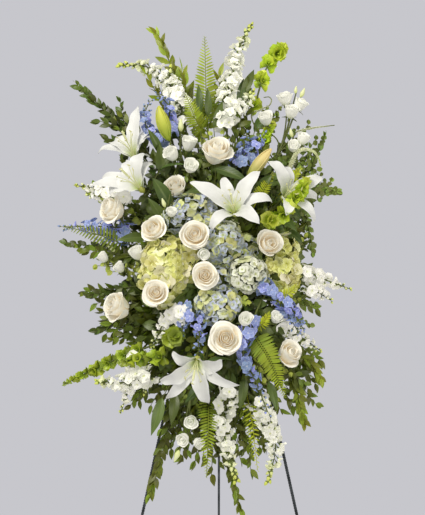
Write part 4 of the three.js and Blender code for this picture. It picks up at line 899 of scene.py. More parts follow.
REPEAT_INPUTS = (
    ("Shapes", "NodeSocketCollection", None),
    ("Kinds", "NodeSocketInt", 1),
    ("Open To Bud", "NodeSocketFloat", 0.0),
    ("Size", "NodeSocketFloat", 1.0),
    ("Tip Size", "NodeSocketFloat", 1.0),
    ("Taper", "NodeSocketFloat", 1.0),
    ("Vary", "NodeSocketFloat", 0.1),
    ("Finish", "NodeSocketMaterial", None),
    ("Green Finish", "NodeSocketMaterial", None),
    ("Seed", "NodeSocketInt", 0),
)


def by_chance(tree, given, number, low=-1.0, high=1.0):
    """A random value for each repeat, from the tree's seed and a number of its own."""
    seed = maths(tree, "ADD", given["Seed"], float(number))
    return node(tree, "FunctionNodeRandomValue", {2: low, 3: high, 8: seed}, data_type="FLOAT").outputs[1]


def turned(tree, rotation, x=0.0, z=0.0):
    angles = node(tree, "ShaderNodeCombineXYZ", {0: x, 2: z}).outputs[0]
    turn = node(tree, "FunctionNodeEulerToRotation", {0: angles}).outputs[0]
    return node(tree, "FunctionNodeRotateRotation", {0: rotation, 1: turn}, rotation_space="LOCAL").outputs[0]


def mixed(tree, factor, a, b):
    return node(tree, "ShaderNodeMix", {0: factor, 2: a, 3: b}, data_type="FLOAT").outputs[0]


def repeated(tree, given, points, rotation, rise):
    """The end of a tree: shapes from a shelf set on points, in their sizes, marks and finishes."""
    shapes = node(tree, "GeometryNodeCollectionInfo", {
        "Collection": given["Shapes"], "Separate Children": True, "Reset Children": True})
    by_rise = maths(tree, "MULTIPLY", rise, given["Open To Bud"])
    left_over = maths(tree, "SUBTRACT", 1.0, given["Open To Bud"])
    at_random = maths(tree, "MULTIPLY", by_chance(tree, given, 3, 0.0), left_over)
    kinds = maths(tree, "SUBTRACT", given["Kinds"], 0.01)
    pick = maths(tree, "FLOOR", maths(tree, "MULTIPLY", maths(tree, "ADD", by_rise, at_random), kinds))
    size = mixed(tree, maths(tree, "POWER", rise, given["Taper"]), given["Size"], given["Tip Size"])
    varied = maths(tree, "ADD", 1.0, maths(tree, "MULTIPLY", by_chance(tree, given, 5), given["Vary"]))
    size = maths(tree, "MULTIPLY", size, varied)
    scale = node(tree, "ShaderNodeCombineXYZ", {0: size, 1: size, 2: size})
    marked = node(tree, "GeometryNodeInstanceOnPoints", {
        "Points": points, "Instance": shapes.outputs[0], "Pick Instance": True, "Instance Index": pick,
        "Rotation": rotation, "Scale": scale.outputs[0]}).outputs[0]
    for mark, value in (("tone", by_chance(tree, given, 7, 0.0)), ("rise", rise)):
        marked = node(tree, "GeometryNodeStoreNamedAttribute",
                      {"Geometry": marked, "Name": mark, "Value": value},
                      data_type="FLOAT", domain="INSTANCE").outputs[0]
    real = node(tree, "GeometryNodeRealizeInstances", {"Geometry": marked}).outputs[0]
    green = node(tree, "GeometryNodeInputNamedAttribute", {"Name": "green"}, data_type="FLOAT").outputs[0]
    is_green = node(tree, "FunctionNodeCompare", {0: green, 1: 0.5}, data_type="FLOAT",
                    operation="GREATER_THAN").outputs[0]
    plain = node(tree, "GeometryNodeSetMaterial", {"Geometry": real, "Material": given["Finish"]}).outputs[0]
    both = node(tree, "GeometryNodeSetMaterial", {
        "Geometry": plain, "Selection": is_green, "Material": given["Green Finish"]})
    node(tree, "NodeGroupOutput", {"Geometry": both.outputs[0]})


CROWD = bpy.data.node_groups.new("crowd over a core", "GeometryNodeTree")
given, CROWD_NAMES = given_inputs(CROWD, (*REPEAT_INPUTS, ("Spacing", "NodeSocketFloat", 0.018)))
points = node(CROWD, "GeometryNodeDistributePointsOnFaces", {
    "Mesh": given["Geometry"], "Distance Min": given["Spacing"], "Density Max": 60000.0,
    "Seed": given["Seed"],
}, distribute_method="POISSON")
rotation = turned(CROWD, points.outputs["Rotation"], x=by_chance(CROWD, given, 11, -0.7, 0.7))
rotation = turned(CROWD, rotation, x=by_chance(CROWD, given, 12, -0.6, 0.6),
                  z=by_chance(CROWD, given, 13, 0.0, 6.28))
repeated(CROWD, given, points.outputs[0], rotation, by_chance(CROWD, given, 14, 0.0))


def evaluated(source, tree, names, inputs):
    """The plain mesh that a tree makes of an object, which is then removed."""
    modifier = source.modifiers.new("repeats", "NODES")
    modifier.node_group = tree
    for name, value in inputs.items():
        modifier[names[name]] = value
    depsgraph = bpy.context.evaluated_depsgraph_get()
    mesh = bpy.data.meshes.new_from_object(source.evaluated_get(depsgraph), depsgraph=depsgraph)
    source.modifiers.remove(modifier)
    bpy.data.objects.remove(source)
    return mesh


SEPAL = 0.0125
large_florets, small_florets = (
    shelf(name, [floret(4, SEPAL * size, depth, 0.56, 0.25, curl, cup) for size, curl, cup in kinds])
    for name, depth, kinds in (
        ("large florets", 0.010, ((1.25, 0.7, 0.3), (1.1, 0.4, 0.45), (1.35, 1.0, 0.15))),
        ("small florets", 0.009, ((0.88, 0.6, 0.3), (0.74, 0.3, 0.5), (0.96, 0.9, 0.15)))))

HYDRANGEAS = {
    # each head's lumps, with place and half sizes across, up and deep; then its florets, spacing, slot
    "hydrangea_green_left": (
        [((-0.135, 1.200, 0.122), (0.060, 0.092, 0.045)), ((-0.078, 1.256, 0.120), (0.024, 0.034, 0.028))],
        large_florets, 0.0108, "hydrangea_lime"),
    "hydrangea_blue_upper": (
        [((0.012, 1.268, 0.135), (0.048, 0.058, 0.040)), ((0.063, 1.258, 0.130), (0.026, 0.032, 0.028)),
         ((0.004, 1.188, 0.132), (0.024, 0.028, 0.026))],
        small_florets, 0.0080, "hydrangea_blue"),
    "hydrangea_white_centre": (
        [((0.072, 1.195, 0.150), (0.043, 0.041, 0.036))], small_florets, 0.0080, "hydrangea_white"),
    "hydrangea_blue_lower": (
        [((-0.005, 1.118, 0.140), (0.054, 0.044, 0.038))], small_florets, 0.0080, "hydrangea_blue"),
    "hydrangea_green_right": (
        [((0.150, 1.197, 0.115), (0.038, 0.055, 0.037)), ((0.162, 1.258, 0.100), (0.026, 0.030, 0.028))],
        large_florets, 0.0108, "hydrangea_lime"),
    "hydrangea_blue_top": (
        [((-0.064, 1.362, 0.125), (0.054, 0.031, 0.033)), ((-0.108, 1.330, 0.128), (0.028, 0.026, 0.026)),
         ((-0.036, 1.330, 0.122), (0.032, 0.024, 0.026))],
        small_florets, 0.0080, "hydrangea_blue"),
}
CORE_SHRUNK = 0.94


def add_stems_and_shade_core(form, centre, halves, k):
    """An uneven round core under the florets, dark in stem green: it stands for the head's stems and is
    painted shade in the gaps between the florets. Gives the ball that they are set on.
    """
    bpy.ops.mesh.primitive_ico_sphere_add(subdivisions=3, radius=1)
    ball = bpy.context.object
    for vertex in ball.data.vertices:
        out = vertex.co.copy()
        bulge = 0.84 + 0.3 * noise.noise(out * 2.4 + Vector((k * 7.3, 0, 0)))
        vertex.co = centre + Vector([a * half for a, half in zip(out, halves)]) * bulge
    inside = (points_of(ball.data) - np.array(centre)) * CORE_SHRUNK + np.array(centre)
    form.add(inside, [polygon.vertices[:] for polygon in ball.data.polygons], stem_green, rise=0.6)
    return ball


for k, (name, (lumps, florets, spacing, slot)) in enumerate(HYDRANGEAS.items()):
    form = Form()
    for part, (at, (half_x, half_z, half_y)) in enumerate(lumps):
        centre = spot(*at)
        cut_end, _ = stem_from_foam(at)
        rod(form, [cut_end.lerp(centre, share) for share in (0, 0.45, 0.9)], [0.0036], stem_green, 8)
        ball = add_stems_and_shade_core(form, centre, (half_x, half_y, half_z), k)
        form.take(evaluated(ball, CROWD, CROWD_NAMES, {
            "Shapes": florets, "Kinds": 3, "Size": 0.95, "Tip Size": 1.1, "Vary": 0.15, "Spacing": spacing,
            "Finish": hydrangea_finishes[slot], "Green Finish": stem_green, "Seed": 20 * k + part}))
    finished(form, f"{name}_florets", name)


# Flowering spikes. Delphiniums, snapdragons and stocks carry their blooms in a spiral up each stem, open
# below, smaller and in bud towards the tip.
SPIRAL = bpy.data.node_groups.new("set round a stem", "GeometryNodeTree")
given, SPIRAL_NAMES = given_inputs(SPIRAL, (
    *REPEAT_INPUTS,
    ("Count", "NodeSocketInt", 20),
    ("Turn", "NodeSocketFloat", 2.39996),
    ("Roll", "NodeSocketFloat", 0.0),
    ("Lean", "NodeSocketFloat", 0.5),
    ("Tip Lean", "NodeSocketFloat", 1.0),
    ("Jitter", "NodeSocketFloat", 0.2),
    ("Front", "NodeSocketVector", (0, -1, 0)),
))


def jittered(value, number, share=1.0):
    """A value in this tree with a random part to it."""
    reach = maths(SPIRAL, "MULTIPLY", given["Jitter"], share)
    return maths(SPIRAL, "ADD", value, maths(SPIRAL, "MULTIPLY", by_chance(SPIRAL, given, number), reach))


points = node(SPIRAL, "GeometryNodeCurveToPoints", {"Curve": given["Geometry"], "Count": given["Count"]},
              mode="COUNT")
index = node(SPIRAL, "GeometryNodeInputIndex").outputs[0]
step = maths(SPIRAL, "FLOORED_MODULO", index, given["Count"])
rise = maths(SPIRAL, "DIVIDE", step, maths(SPIRAL, "SUBTRACT", given["Count"], 1.0))
upright = node(SPIRAL, "FunctionNodeAxesToRotation", {0: points.outputs["Tangent"], 1: given["Front"]},
               primary_axis="Z", secondary_axis="X").outputs[0]
lean = mixed(SPIRAL, rise, given["Lean"], given["Tip Lean"])
rotation = turned(SPIRAL, upright, z=jittered(maths(SPIRAL, "MULTIPLY", index, given["Turn"]), 21))
rotation = turned(SPIRAL, rotation, x=jittered(maths(SPIRAL, "SUBTRACT", lean, math.pi / 2), 22, 0.6))
rotation = turned(SPIRAL, rotation, z=jittered(maths(SPIRAL, "MULTIPLY", index, given["Roll"]), 23))
repeated(SPIRAL, given, points.outputs[0], rotation, rise)


def grow(form, lines, shapes, finish, green=None, front=(0, -1, 0), **settings):
    """Sets blooms or leaves along lines, all of which get the same count."""
    curve = bpy.data.curves.new("way", "CURVE")
    curve.dimensions = "3D"
    for line in lines:
        spline = curve.splines.new("POLY")
        spline.points.add(len(line) - 1)
        spline.points.foreach_set("co", np.hstack([line, np.ones((len(line), 1))]).ravel())
    source = bpy.data.objects.new("way", curve)
    bpy.context.collection.objects.link(source)
    inputs = {name.replace("_", " ").title(): value for name, value in settings.items()}
    inputs |= {"Shapes": shapes, "Kinds": len(shapes.objects), "Finish": finish,
               "Green Finish": green or stem_green, "Seed": dice.randrange(10000), "Front": front}
    form.take(evaluated(source, SPIRAL, SPIRAL_NAMES, inputs))


def length_of(line):
    return float(np.linalg.norm(np.diff(line, axis=0), axis=1).sum())


def part_of(line, first, last=1.0):
    """The part of a line between two shares of its length, in even steps."""
    steps = np.linalg.norm(np.diff(line, axis=0), axis=1)
    lengths = np.concatenate([[0], np.cumsum(steps)]) / steps.sum()
    places = np.linspace(first, last, 20)
    return np.stack([np.interp(places, lengths, line[:, k]) for k in range(3)], axis=1)


def branching(start, branches, **root):
    """Lines from the foam through a fork, each with the part of it beyond the fork and the rest of what its
    branch says. The first carries on the stem."""
    stem = stem_from_foam(start, **root)
    for k, (way, *rest) in enumerate(branches):
        before = stem[-1:] if k else stem
        line = smooth_line([*before, *(spot(*place) for place in way)])
        yield (line, line[STEPS * (len(before) - 1):], *rest)


def closed_bud(length, width, stalk):
    """A bud along +Z on its stalk, held by a green calyx."""
    form = Form()
    rod(form, [(0, 0, 0), (0, 0, stalk)], [0.0007, 0.001], stem_green, 4, green=1.0)
    for shares, radii, green in (((-0.05, 0.1, 0.3), (0.15, 0.5, 0.52), 1.0),
                                 ((0, 0.2, 0.45, 0.75, 1), (0.3, 0.46, 0.5, 0.36, 0.08), 0.0)):
        line = [(0, 0, stalk + length * share) for share in shares]
        rod(form, line, [width * radius for radius in radii], stem_green, 5, green=green)
    return form


SPIKES = {
    "delphinium": {
        "shapes": shelf("delphinium blooms", [
            floret(5, 0.0140, 0.017, 0.50, 0.35, 0.5, inner=3),
            floret(5, 0.0130, 0.016, 0.55, 0.2, 0.8, inner=3),
            floret(5, 0.0120, 0.015, 0.50, 0.6, 0.6, cup=0.5, inner=3), closed_bud(0.012, 0.007, 0.010)]),
        "finish": petal_finish(
            "delphinium petal", (0.66, 0.69, 0.82), (0.27, 0.34, 0.66), (0.45, 0.51, 0.80),
            bud=(0.22, 0.30, 0.58), reach=0.25, edge_width=0.5, bud_from=0.8, variety=0.6, painted_glow=0.08),
        "slot": "delphinium_blue",
        "spacing": 0.0056,
        "settings": {"size": 1.1, "tip_size": 0.7, "lean": 0.2, "tip_lean": 0.9, "jitter": 0.6, "vary": 0.18},
    },
    "snapdragon": {
        "shapes": shelf("snapdragon blooms", [
            floret(5, 0.0135, 0.019, 0.66, 0.5, 0.9, cup=0.5, ruffle=0.3, inner=3),
            floret(5, 0.0130, 0.019, 0.66, 0.8, 1.1, cup=0.5, ruffle=0.35, inner=3),
            floret(5, 0.0125, 0.018, 0.66, 0.9, 1.0, cup=0.6, ruffle=0.3, inner=3),
            floret(4, 0.0110, 0.016, 0.62, 1.2, 0.9, cup=0.6, ruffle=0.2, inner=2),
            closed_bud(0.013, 0.009, 0.003)]),
        "finish": petal_finish(
            "white snapdragon petal", (0.74, 0.78, 0.38), (0.81, 0.81, 0.73), (0.83, 0.83, 0.79),
            bud=(0.50, 0.56, 0.09), reach=0.35, bud_from=0.6, variety=0.1, painted_glow=0.2),
        "slot": "snapdragon_white",
        "spacing": 0.0045,
        "settings": {"size": 1.2, "tip_size": 0.95, "lean": 0.4, "tip_lean": 1.0, "jitter": 0.5,
                     "vary": 0.18},
    },
    "stock": {
        "shapes": shelf("stock blooms", [
            floret(4, 0.0145, 0.015, 0.72, 0.3, 0.7, cup=0.3, ruffle=0.35, inner=4),
            floret(4, 0.0135, 0.014, 0.72, 0.5, 0.9, cup=0.4, ruffle=0.3, inner=4),
            floret(4, 0.0125, 0.014, 0.68, 0.7, 0.6, cup=0.5, ruffle=0.3, inner=3),
            closed_bud(0.010, 0.0075, 0.006)]),
        "finish": petal_finish(
            "white stock petal", (0.70, 0.74, 0.36), (0.81, 0.80, 0.75), (0.83, 0.82, 0.79),
            bud=(0.54, 0.60, 0.12), reach=0.35, bud_from=0.65, variety=0.1, painted_glow=0.22),
        "slot": "stock_white",
        "spacing": 0.0052,
        "settings": {"size": 1.1, "tip_size": 0.7, "lean": 0.3, "tip_lean": 1.0, "jitter": 0.5, "vary": 0.18},
    },
}

SPRAYS = {
    # where the flowers begin, how the stem goes into the foam, and each branch: its places and where its
    # blooms begin
    "delphinium_left": (
        (-0.215, 1.300, 0.075), {},
        [([(-0.300, 1.315, 0.065), (-0.398, 1.314, 0.045)], 0.05),
         ([(-0.245, 1.290, 0.070), (-0.330, 1.296, 0.060)], 0.2)]),
    "delphinium_right": (
        (0.104, 1.135, 0.130), {},
        [([(0.112, 1.170, 0.155), (0.150, 1.125, 0.150), (0.192, 1.055, 0.120)], 0.1),
         ([(0.056, 1.012, 0.165), (0.086, 0.940, 0.160), (0.116, 0.862, 0.130)], 0.15),
         ([(0.165, 1.122, 0.150), (0.204, 1.062, 0.135)], 0.35)]),
    "delphinium_top_left": (
        (-0.118, 1.525, 0.062), {"aside": -0.004, "deep": 0.034},
        [([(-0.155, 1.540, 0.085), (-0.185, 1.568, 0.085), (-0.190, 1.605, 0.085), (-0.180, 1.636, 0.080)],
          0.1),
         ([(-0.130, 1.580, 0.085), (-0.128, 1.622, 0.080), (-0.158, 1.657, 0.075)], 0.2)]),
    "delphinium_top_right": (
        (0.060, 1.455, 0.110), {},
        [([(0.058, 1.490, 0.120), (0.068, 1.548, 0.105)], 0.05),
         ([(0.045, 1.470, 0.120), (0.038, 1.490, 0.120)], 0.3),
         ([(0.085, 1.510, 0.115), (0.112, 1.545, 0.100)], 0.2)]),
    "delphinium_centre": (
        (-0.065, 1.120, 0.140), {},
        [([(-0.050, 1.070, 0.168), (-0.052, 1.003, 0.162)], 0.05),
         ([(-0.085, 1.100, 0.150), (-0.092, 1.055, 0.150)], 0.3)]),
    "snapdragon_top": (
        (0.020, 1.562, 0.054), {},
        [([(0.021, 1.650, 0.050), (0.036, 1.718, 0.042), (0.046, 1.770, 0.034), (0.064, 1.812, 0.026),
           (0.085, 1.848, 0.020)],
          0.16),
         ([(0.010, 1.580, 0.065), (0.034, 1.603, 0.070), (0.063, 1.631, 0.068), (0.086, 1.664, 0.060)],
          0.05)]),
    "snapdragon_top_left": (
        (-0.085, 1.560, 0.050), {},
        [([(-0.105, 1.640, 0.045), (-0.140, 1.700, 0.045), (-0.185, 1.733, 0.040), (-0.255, 1.740, 0.040)],
          0.05),
         ([(-0.100, 1.630, 0.050), (-0.125, 1.690, 0.050), (-0.130, 1.725, 0.045)], 0.3)]),
    "snapdragon_low_left": (
        (-0.170, 0.960, 0.085), {}, [([(-0.215, 0.930, 0.085), (-0.300, 0.927, 0.070)], 0.05)]),
    "snapdragon_bottom": (
        (0.025, 0.930, 0.100), {},
        [([(0.008, 0.845, 0.085), (0.018, 0.770, 0.070), (0.040, 0.692, 0.060)], 0.02),
         ([(0.085, 0.890, 0.090), (0.110, 0.850, 0.085), (0.137, 0.776, 0.080), (0.119, 0.692, 0.075)],
          0.25)]),
    "stock_right": (
        (0.190, 1.180, 0.100), {},
        [([(0.213, 1.198, 0.100), (0.270, 1.178, 0.090), (0.325, 1.158, 0.080)], 0.1),
         ([(0.235, 1.155, 0.085), (0.278, 1.130, 0.080)], 0.3)]),
    "stock_left": (
        (-0.250, 1.385, 0.060), {},
        [([(-0.300, 1.408, 0.055), (-0.360, 1.420, 0.050)], 0.05),
         ([(-0.240, 1.400, 0.085), (-0.258, 1.385, 0.085)], 0.1),
         ([(-0.290, 1.395, 0.060), (-0.335, 1.396, 0.055)], 0.3)]),
    "stock_low_left": (
        (-0.195, 1.005, 0.070), {},
        [([(-0.217, 0.945, 0.080), (-0.227, 0.903, 0.070), (-0.244, 0.855, 0.060)], 0.1),
         ([(-0.190, 0.950, 0.080), (-0.185, 0.905, 0.075)], 0.3)]),
    "stock_centre": (
        (-0.095, 1.085, 0.120), {},
        [([(-0.090, 1.105, 0.150), (-0.125, 1.092, 0.145), (-0.150, 1.050, 0.120), (-0.164, 1.015, 0.100)],
          0.05)]),
    "stock_low_right": (
        (0.130, 1.080, 0.080), {},
        [([(0.180, 1.050, 0.080), (0.215, 1.030, 0.075), (0.248, 1.006, 0.070)], 0.1)]),
}

for name, (start, root, branches) in SPRAYS.items():
    spike = SPIKES[name.split("_")[0]]
    form = Form()
    for line, beyond, first in branching(start, branches, **root):
        rod(form, line, [0.0026, 0.0022, 0.0012], stem_green, 6, rise=0.3)
        flowering = part_of(beyond, first)
        grow(form, [flowering], spike["shapes"], spike["finish"], open_to_bud=1.0,
             count=max(8, round(length_of(flowering) / spike["spacing"])), **spike["settings"])
    finished(form, f"{name}_blooms", name)


# Bells of Ireland. Green netted cups crowd up each stem, small at the tip, each with a tiny flower inside.
# The stems are pushed into the foam like the rest.
# One cup finish in three brightnesses: young is a lit copy, deep a copy with painted shade in face and bud.
lit_and_shaded_bell_skins = {
    kind: petal_finish(f"{kind} bell cup", (0.13, 0.21, 0.01), face, edge, bud, reach=0.7, edge_width=0.3,
                       variety=0.25, veins=12.0, painted_glow=0.08, roughness=0.4)
    for kind, face, edge, bud in (
        ("young", (0.46, 0.59, 0.035), (0.70, 0.80, 0.17), (0.62, 0.68, 0.09)),
        ("green", (0.41, 0.53, 0.03), (0.63, 0.73, 0.15), (0.56, 0.62, 0.08)),
        ("deep", (0.34, 0.43, 0.03), (0.50, 0.58, 0.12), (0.22, 0.29, 0.04)))
}


def bell_cup(mouth, deep, open_wide):
    """A scalloped cup that opens along +Z, with its small flower."""
    form = Form()
    v = np.linspace(0, 1, 6)[:, None]
    angle = 2 * math.pi * np.arange(12)[None, :] / 12
    scallop = np.cos(5 * angle) * v**3
    reach = mouth * (0.14 + 0.86 * v ** (1.6 - 0.9 * open_wide)) * (1 + 0.10 * scallop)
    rise = deep * (v - 0.15 * open_wide * v**4 + 0.07 * scallop)
    grid = np.stack([reach * np.cos(angle), reach * np.sin(angle), rise + 0 * angle], axis=-1)
    sheet(form, grid, 0.0009, stem_green, wrap=True)
    rod(form, [(0, 0, 0.001), (0, 0, 0.6 * deep)], [0.001, 0.0022, 0.0014], stem_green, 5)
    return form


bell_shapes = shelf("bells", [
    bell_cup(*sizes) for sizes in ((0.0150, 0.019, 0.9), (0.0140, 0.020, 0.7), (0.0130, 0.018, 0.8))])
BELLS = {
    # where the cups begin, their finish (young a lit copy, deep a copy with painted shade), and each branch:
    # its places, then each span of it with cups, number and sizes
    "bells_top": (
        (0.060, 1.575, 0.030), "young",
        [([(0.093, 1.638, 0.030), (0.112, 1.700, 0.028), (0.132, 1.748, 0.025), (0.166, 1.788, 0.025)],
          [(0.24, 0.30, 6, 0.95, 0.95), (0.52, 0.60, 8, 1.05, 1.05), (0.74, 0.80, 8, 1.05, 1.0),
           (0.89, 1.0, 14, 1.15, 0.8)]),
         ([(0.105, 1.525, 0.050), (0.125, 1.560, 0.060), (0.136, 1.578, 0.062)],
          [(0.6, 1.0, 20, 0.85, 0.6)])]),
    "bells_right": (
        (0.135, 1.330, 0.150), "green",
        [([(0.160, 1.345, 0.185), (0.182, 1.375, 0.190), (0.212, 1.420, 0.190)],
          [(0.1, 0.5, 12, 1.0, 1.0), (0.6, 1.0, 18, 1.05, 0.8)]),
         ([(0.124, 1.326, 0.180)], [(0.5, 1.0, 9, 1.1, 1.1)])]),
    "bells_left": (
        (-0.130, 1.040, 0.090), "deep",
        [([(-0.253, 0.985, 0.070), (-0.388, 0.921, 0.050)],
          [(0.25, 0.33, 6, 1.05, 1.05), (0.38, 0.47, 6, 1.05, 1.0), (0.54, 0.60, 6, 1.0, 0.95),
           (0.66, 0.73, 6, 0.9, 0.85), (0.78, 1.0, 18, 0.7, 0.28)]),
         ([(-0.108, 1.043, 0.145)], [(0.3, 1.0, 16, 1.2, 1.2)]),
         ([(-0.134, 0.995, 0.120), (-0.190, 0.988, 0.118), (-0.237, 0.980, 0.110)],
          [(0.35, 0.6, 8, 1.0, 0.95), (0.7, 1.0, 10, 0.9, 0.7)])]),
}

for name, (start, kind, branches) in BELLS.items():
    form = Form()
    for line, beyond, spans in branching(start, branches):
        rod(form, line, [0.0028, 0.0024, 0.0013], stem_green, 6, rise=0.6)
        for first, last, count, size, tip_size in spans:
            grow(form, [part_of(beyond, first, last)], bell_shapes, lit_and_shaded_bell_skins[kind], count=count, size=size,
                 tip_size=tip_size, lean=0.2, tip_lean=0.9, jitter=0.5, vary=0.15)
    finished(form, f"{name}_cups", name)


# Lisianthus. Thin stems fork to ruffled cup-shaped white blooms and to long twisted buds. Each bloom's few
# petals wrap round one another, greenish at the root.
lisianthus_petal = petal_finish(
    "white lisianthus petal", (0.62, 0.68, 0.34), (0.80, 0.80, 0.74), (0.82, 0.82, 0.79),
    bud=(0.62, 0.68, 0.24), reach=0.6, edge_width=0.3, variety=0.05, painted_glow=0.15)
LISIANTHUS_WHORLS = ((3, 0.10, 0.30, 0.01, 82, 0.10, 1.5), (3, 0.21, 0.34, 0.04, 78, 0.18, 1.1),
                     (4, 0.29, 0.32, 0.09, 64, 0.28, 0.8))
LISIANTHUS = {
    "lisianthus_top_left": (
        (-0.092, 1.480, 0.092), {"aside": 0.013, "deep": 0.050},
        [((-0.120, 1.494, 0.130), (-0.4, 0.6, 0.7), 0.024), ((-0.078, 1.522, 0.115), (0.2, 0.85, 0.5), 0.025),
         ((-0.072, 1.462, 0.140), (0.2, 0.5, 0.85), 0.023), ((-0.118, 1.346, 0.170), (0.2, 0.7, 0.7), 0.016)],
        [((-0.098, 1.560, 0.095), (0, 0.95, 0.3), 0.030), ((-0.135, 1.362, 0.165), (-0.3, 0.9, 0.2), 0.022)]),
    "lisianthus_top_right": (
        (0.150, 1.500, 0.060), {},
        [((0.170, 1.644, 0.075), (-0.15, 0.9, 0.35), 0.024),
         ((0.208, 1.628, 0.075), (0.45, 0.8, 0.35), 0.023), ((0.184, 1.608, 0.090), (0.15, 0.8, 0.55), 0.024),
         ((0.213, 1.538, 0.085), (0.4, 0.8, 0.45), 0.021), ((0.188, 1.517, 0.095), (0.1, 0.7, 0.7), 0.020),
         ((0.118, 1.590, 0.085), (-0.1, 0.75, 0.65), 0.024)],
        [((0.210, 1.650, 0.080), (0.4, 0.9, 0.2), 0.024), ((0.185, 1.545, 0.085), (-0.2, 0.9, 0.2), 0.022),
         ((0.196, 1.660, 0.078), (0.1, 0.95, 0.2), 0.018)]),
    "lisianthus_left": (
        (-0.205, 1.240, 0.075), {},
        [((-0.205, 1.246, 0.120), (-0.3, 0.8, 0.5), 0.024),
         ((-0.292, 1.236, 0.075), (-0.6, 0.7, 0.35), 0.018),
         ((-0.250, 1.210, 0.090), (-0.5, 0.75, 0.4), 0.018)],
        [((-0.262, 1.252, 0.060), (-0.8, 0.5, 0.1), 0.026)]),
    "lisianthus_bottom": (
        (-0.070, 0.900, 0.080), {},
        [((-0.070, 0.838, 0.110), (0, -0.2, 1), 0.020), ((-0.088, 0.795, 0.100), (-0.3, -0.3, 0.9), 0.020),
         ((-0.052, 0.785, 0.095), (0.4, -0.3, 0.85), 0.018)],
        [((-0.100, 0.762, 0.085), (-0.4, -0.9, 0.1), 0.028)]),
    "lisianthus_centre": (
        (0.050, 1.090, 0.135), {"aside": -0.011},
        [((0.062, 1.085, 0.185), (0.1, 0.5, 0.85), 0.023), ((0.138, 1.088, 0.145), (0.3, 0.6, 0.75), 0.019),
         ((-0.040, 1.246, 0.195), (0.25, -0.3, 0.92), 0.018)],
        []),
}

for name, (start, root, blooms, buds) in LISIANTHUS.items():
    form = Form()
    stem = stem_from_foam(start, **root)
    for at, face, size in blooms:
        add_cupped_bloom(form, at, face, 2.15 * size, LISIANTHUS_WHORLS, lisianthus_petal, ruffle=0.022)
        direction = heading(*face)
        line = smooth_line([*stem, *(spot(*at) - direction * size * share for share in (1.4, 0.7))])
        rod(form, line, [0.0022, 0.0015], stem_green, 6, rise=0.4)
    for at, face, length in buds:
        direction = heading(*face)
        line = [spot(*at) + direction * length * share for share in np.linspace(-0.1, 1, 9)]
        radii = [length * share for share in (0.08, 0.22, 0.25, 0.2, 0.12, 0.03)]
        rod(form, line, radii, lisianthus_petal, 8, twist=0.3, rise=0.85)
        line = smooth_line([*stem, spot(*at) - direction * 0.012, spot(*at)])
        rod(form, line, [0.0022, 0.0013], stem_green, 6, rise=0.4)
    finished(form, f"{name}_blooms", name)


# Veronica. Thin pale spikes of hundreds of tiny buds that taper to a drooping tip, on bare stems that go into
# the foam between the others.
veronica_bud = petal_finish("veronica bud", (0.34, 0.40, 0.12), (0.66, 0.68, 0.46), (0.80, 0.80, 0.68),
                            bud=(0.48, 0.54, 0.22), reach=0.5, variety=0.3)


def grain(length, width):
    """A tiny bud along +Z."""
    form = Form()
    line = [(0, 0, length * share) for share in (0, 0.5, 1)]
    rod(form, line, [0.3 * width, 0.5 * width, 0.12 * width], stem_green, 4)
    return form


veronica_shapes = shelf("veronica buds", [grain(0.0085, 0.0042), grain(0.0072, 0.0038)])
VERONICA = [
    # each branch: its places, where its buds begin, their number and their size
    ([(0.195, 1.500, 0.100), (0.216, 1.510, 0.100), (0.236, 1.506, 0.100), (0.250, 1.490, 0.100),
      (0.256, 1.468, 0.100)],
     0.5, 330, 1.15),
    ([(0.190, 1.545, 0.060), (0.218, 1.565, 0.060), (0.297, 1.577, 0.060)], 0.55, 190, 0.5),
    ([(0.085, 1.590, 0.060), (0.106, 1.617, 0.060), (0.128, 1.628, 0.060), (0.135, 1.642, 0.060),
      (0.129, 1.651, 0.060), (0.115, 1.650, 0.060)],
     0.7, 150, 0.45),
]

form = Form()
for line, _, first, count, size in branching((0.165, 1.440, 0.045), VERONICA, deep=0.034):
    rod(form, line, [0.0018, 0.0016, 0.0012], stem_green, 6, rise=0.6)
    grow(form, [part_of(line, first)], veronica_shapes, veronica_bud, count=count, size=size,
         tip_size=0.4 * size, taper=2.5, lean=0.3, tip_lean=1.0)
finished(form, "veronica_spikes", "veronica")


# Ferns. Each frond is a grooved midrib with narrow leaflets to each side, long at the middle and short at the
# tip. The fronds spread from the foam between the flowers, and young lime ones fill the gaps.
fern_green, deep_fern, lime_frond = (
    leaf_finish(name, old, young, rib, variety=0.3, roughness=0.6) for name, old, young, rib in (
        ("fern green", (0.14, 0.20, 0.006), (0.42, 0.51, 0.025), (0.2, 0.26, 0.015)),
        ("deep fern green", (0.08, 0.12, 0.006), (0.25, 0.32, 0.025), (0.14, 0.18, 0.015)),
        ("young fern green", (0.34, 0.40, 0.008), (0.58, 0.64, 0.03), (0.34, 0.38, 0.015))))


def leaf_shelf(name, sizes, widest=0.42, sharp=1.0, fold=0.25, rows=5):
    """Leaves of these lengths, half widths and droops that grow along +Z and face +X, to lie beside their
    stem."""
    shapes = []
    for length, half, droop in sizes:
        form = Form()
        grid = petal_grid(length, half, rows, 3, leaf_width(widest, sharp),
                          lambda t: 0.15 - droop * t, fold=fold)
        sheet(form, grid, 0.0006, stem_green, Matrix.Rotation(-math.pi / 2, 4, "Z"))
        shapes.append(form)
    return shelf(name, shapes)


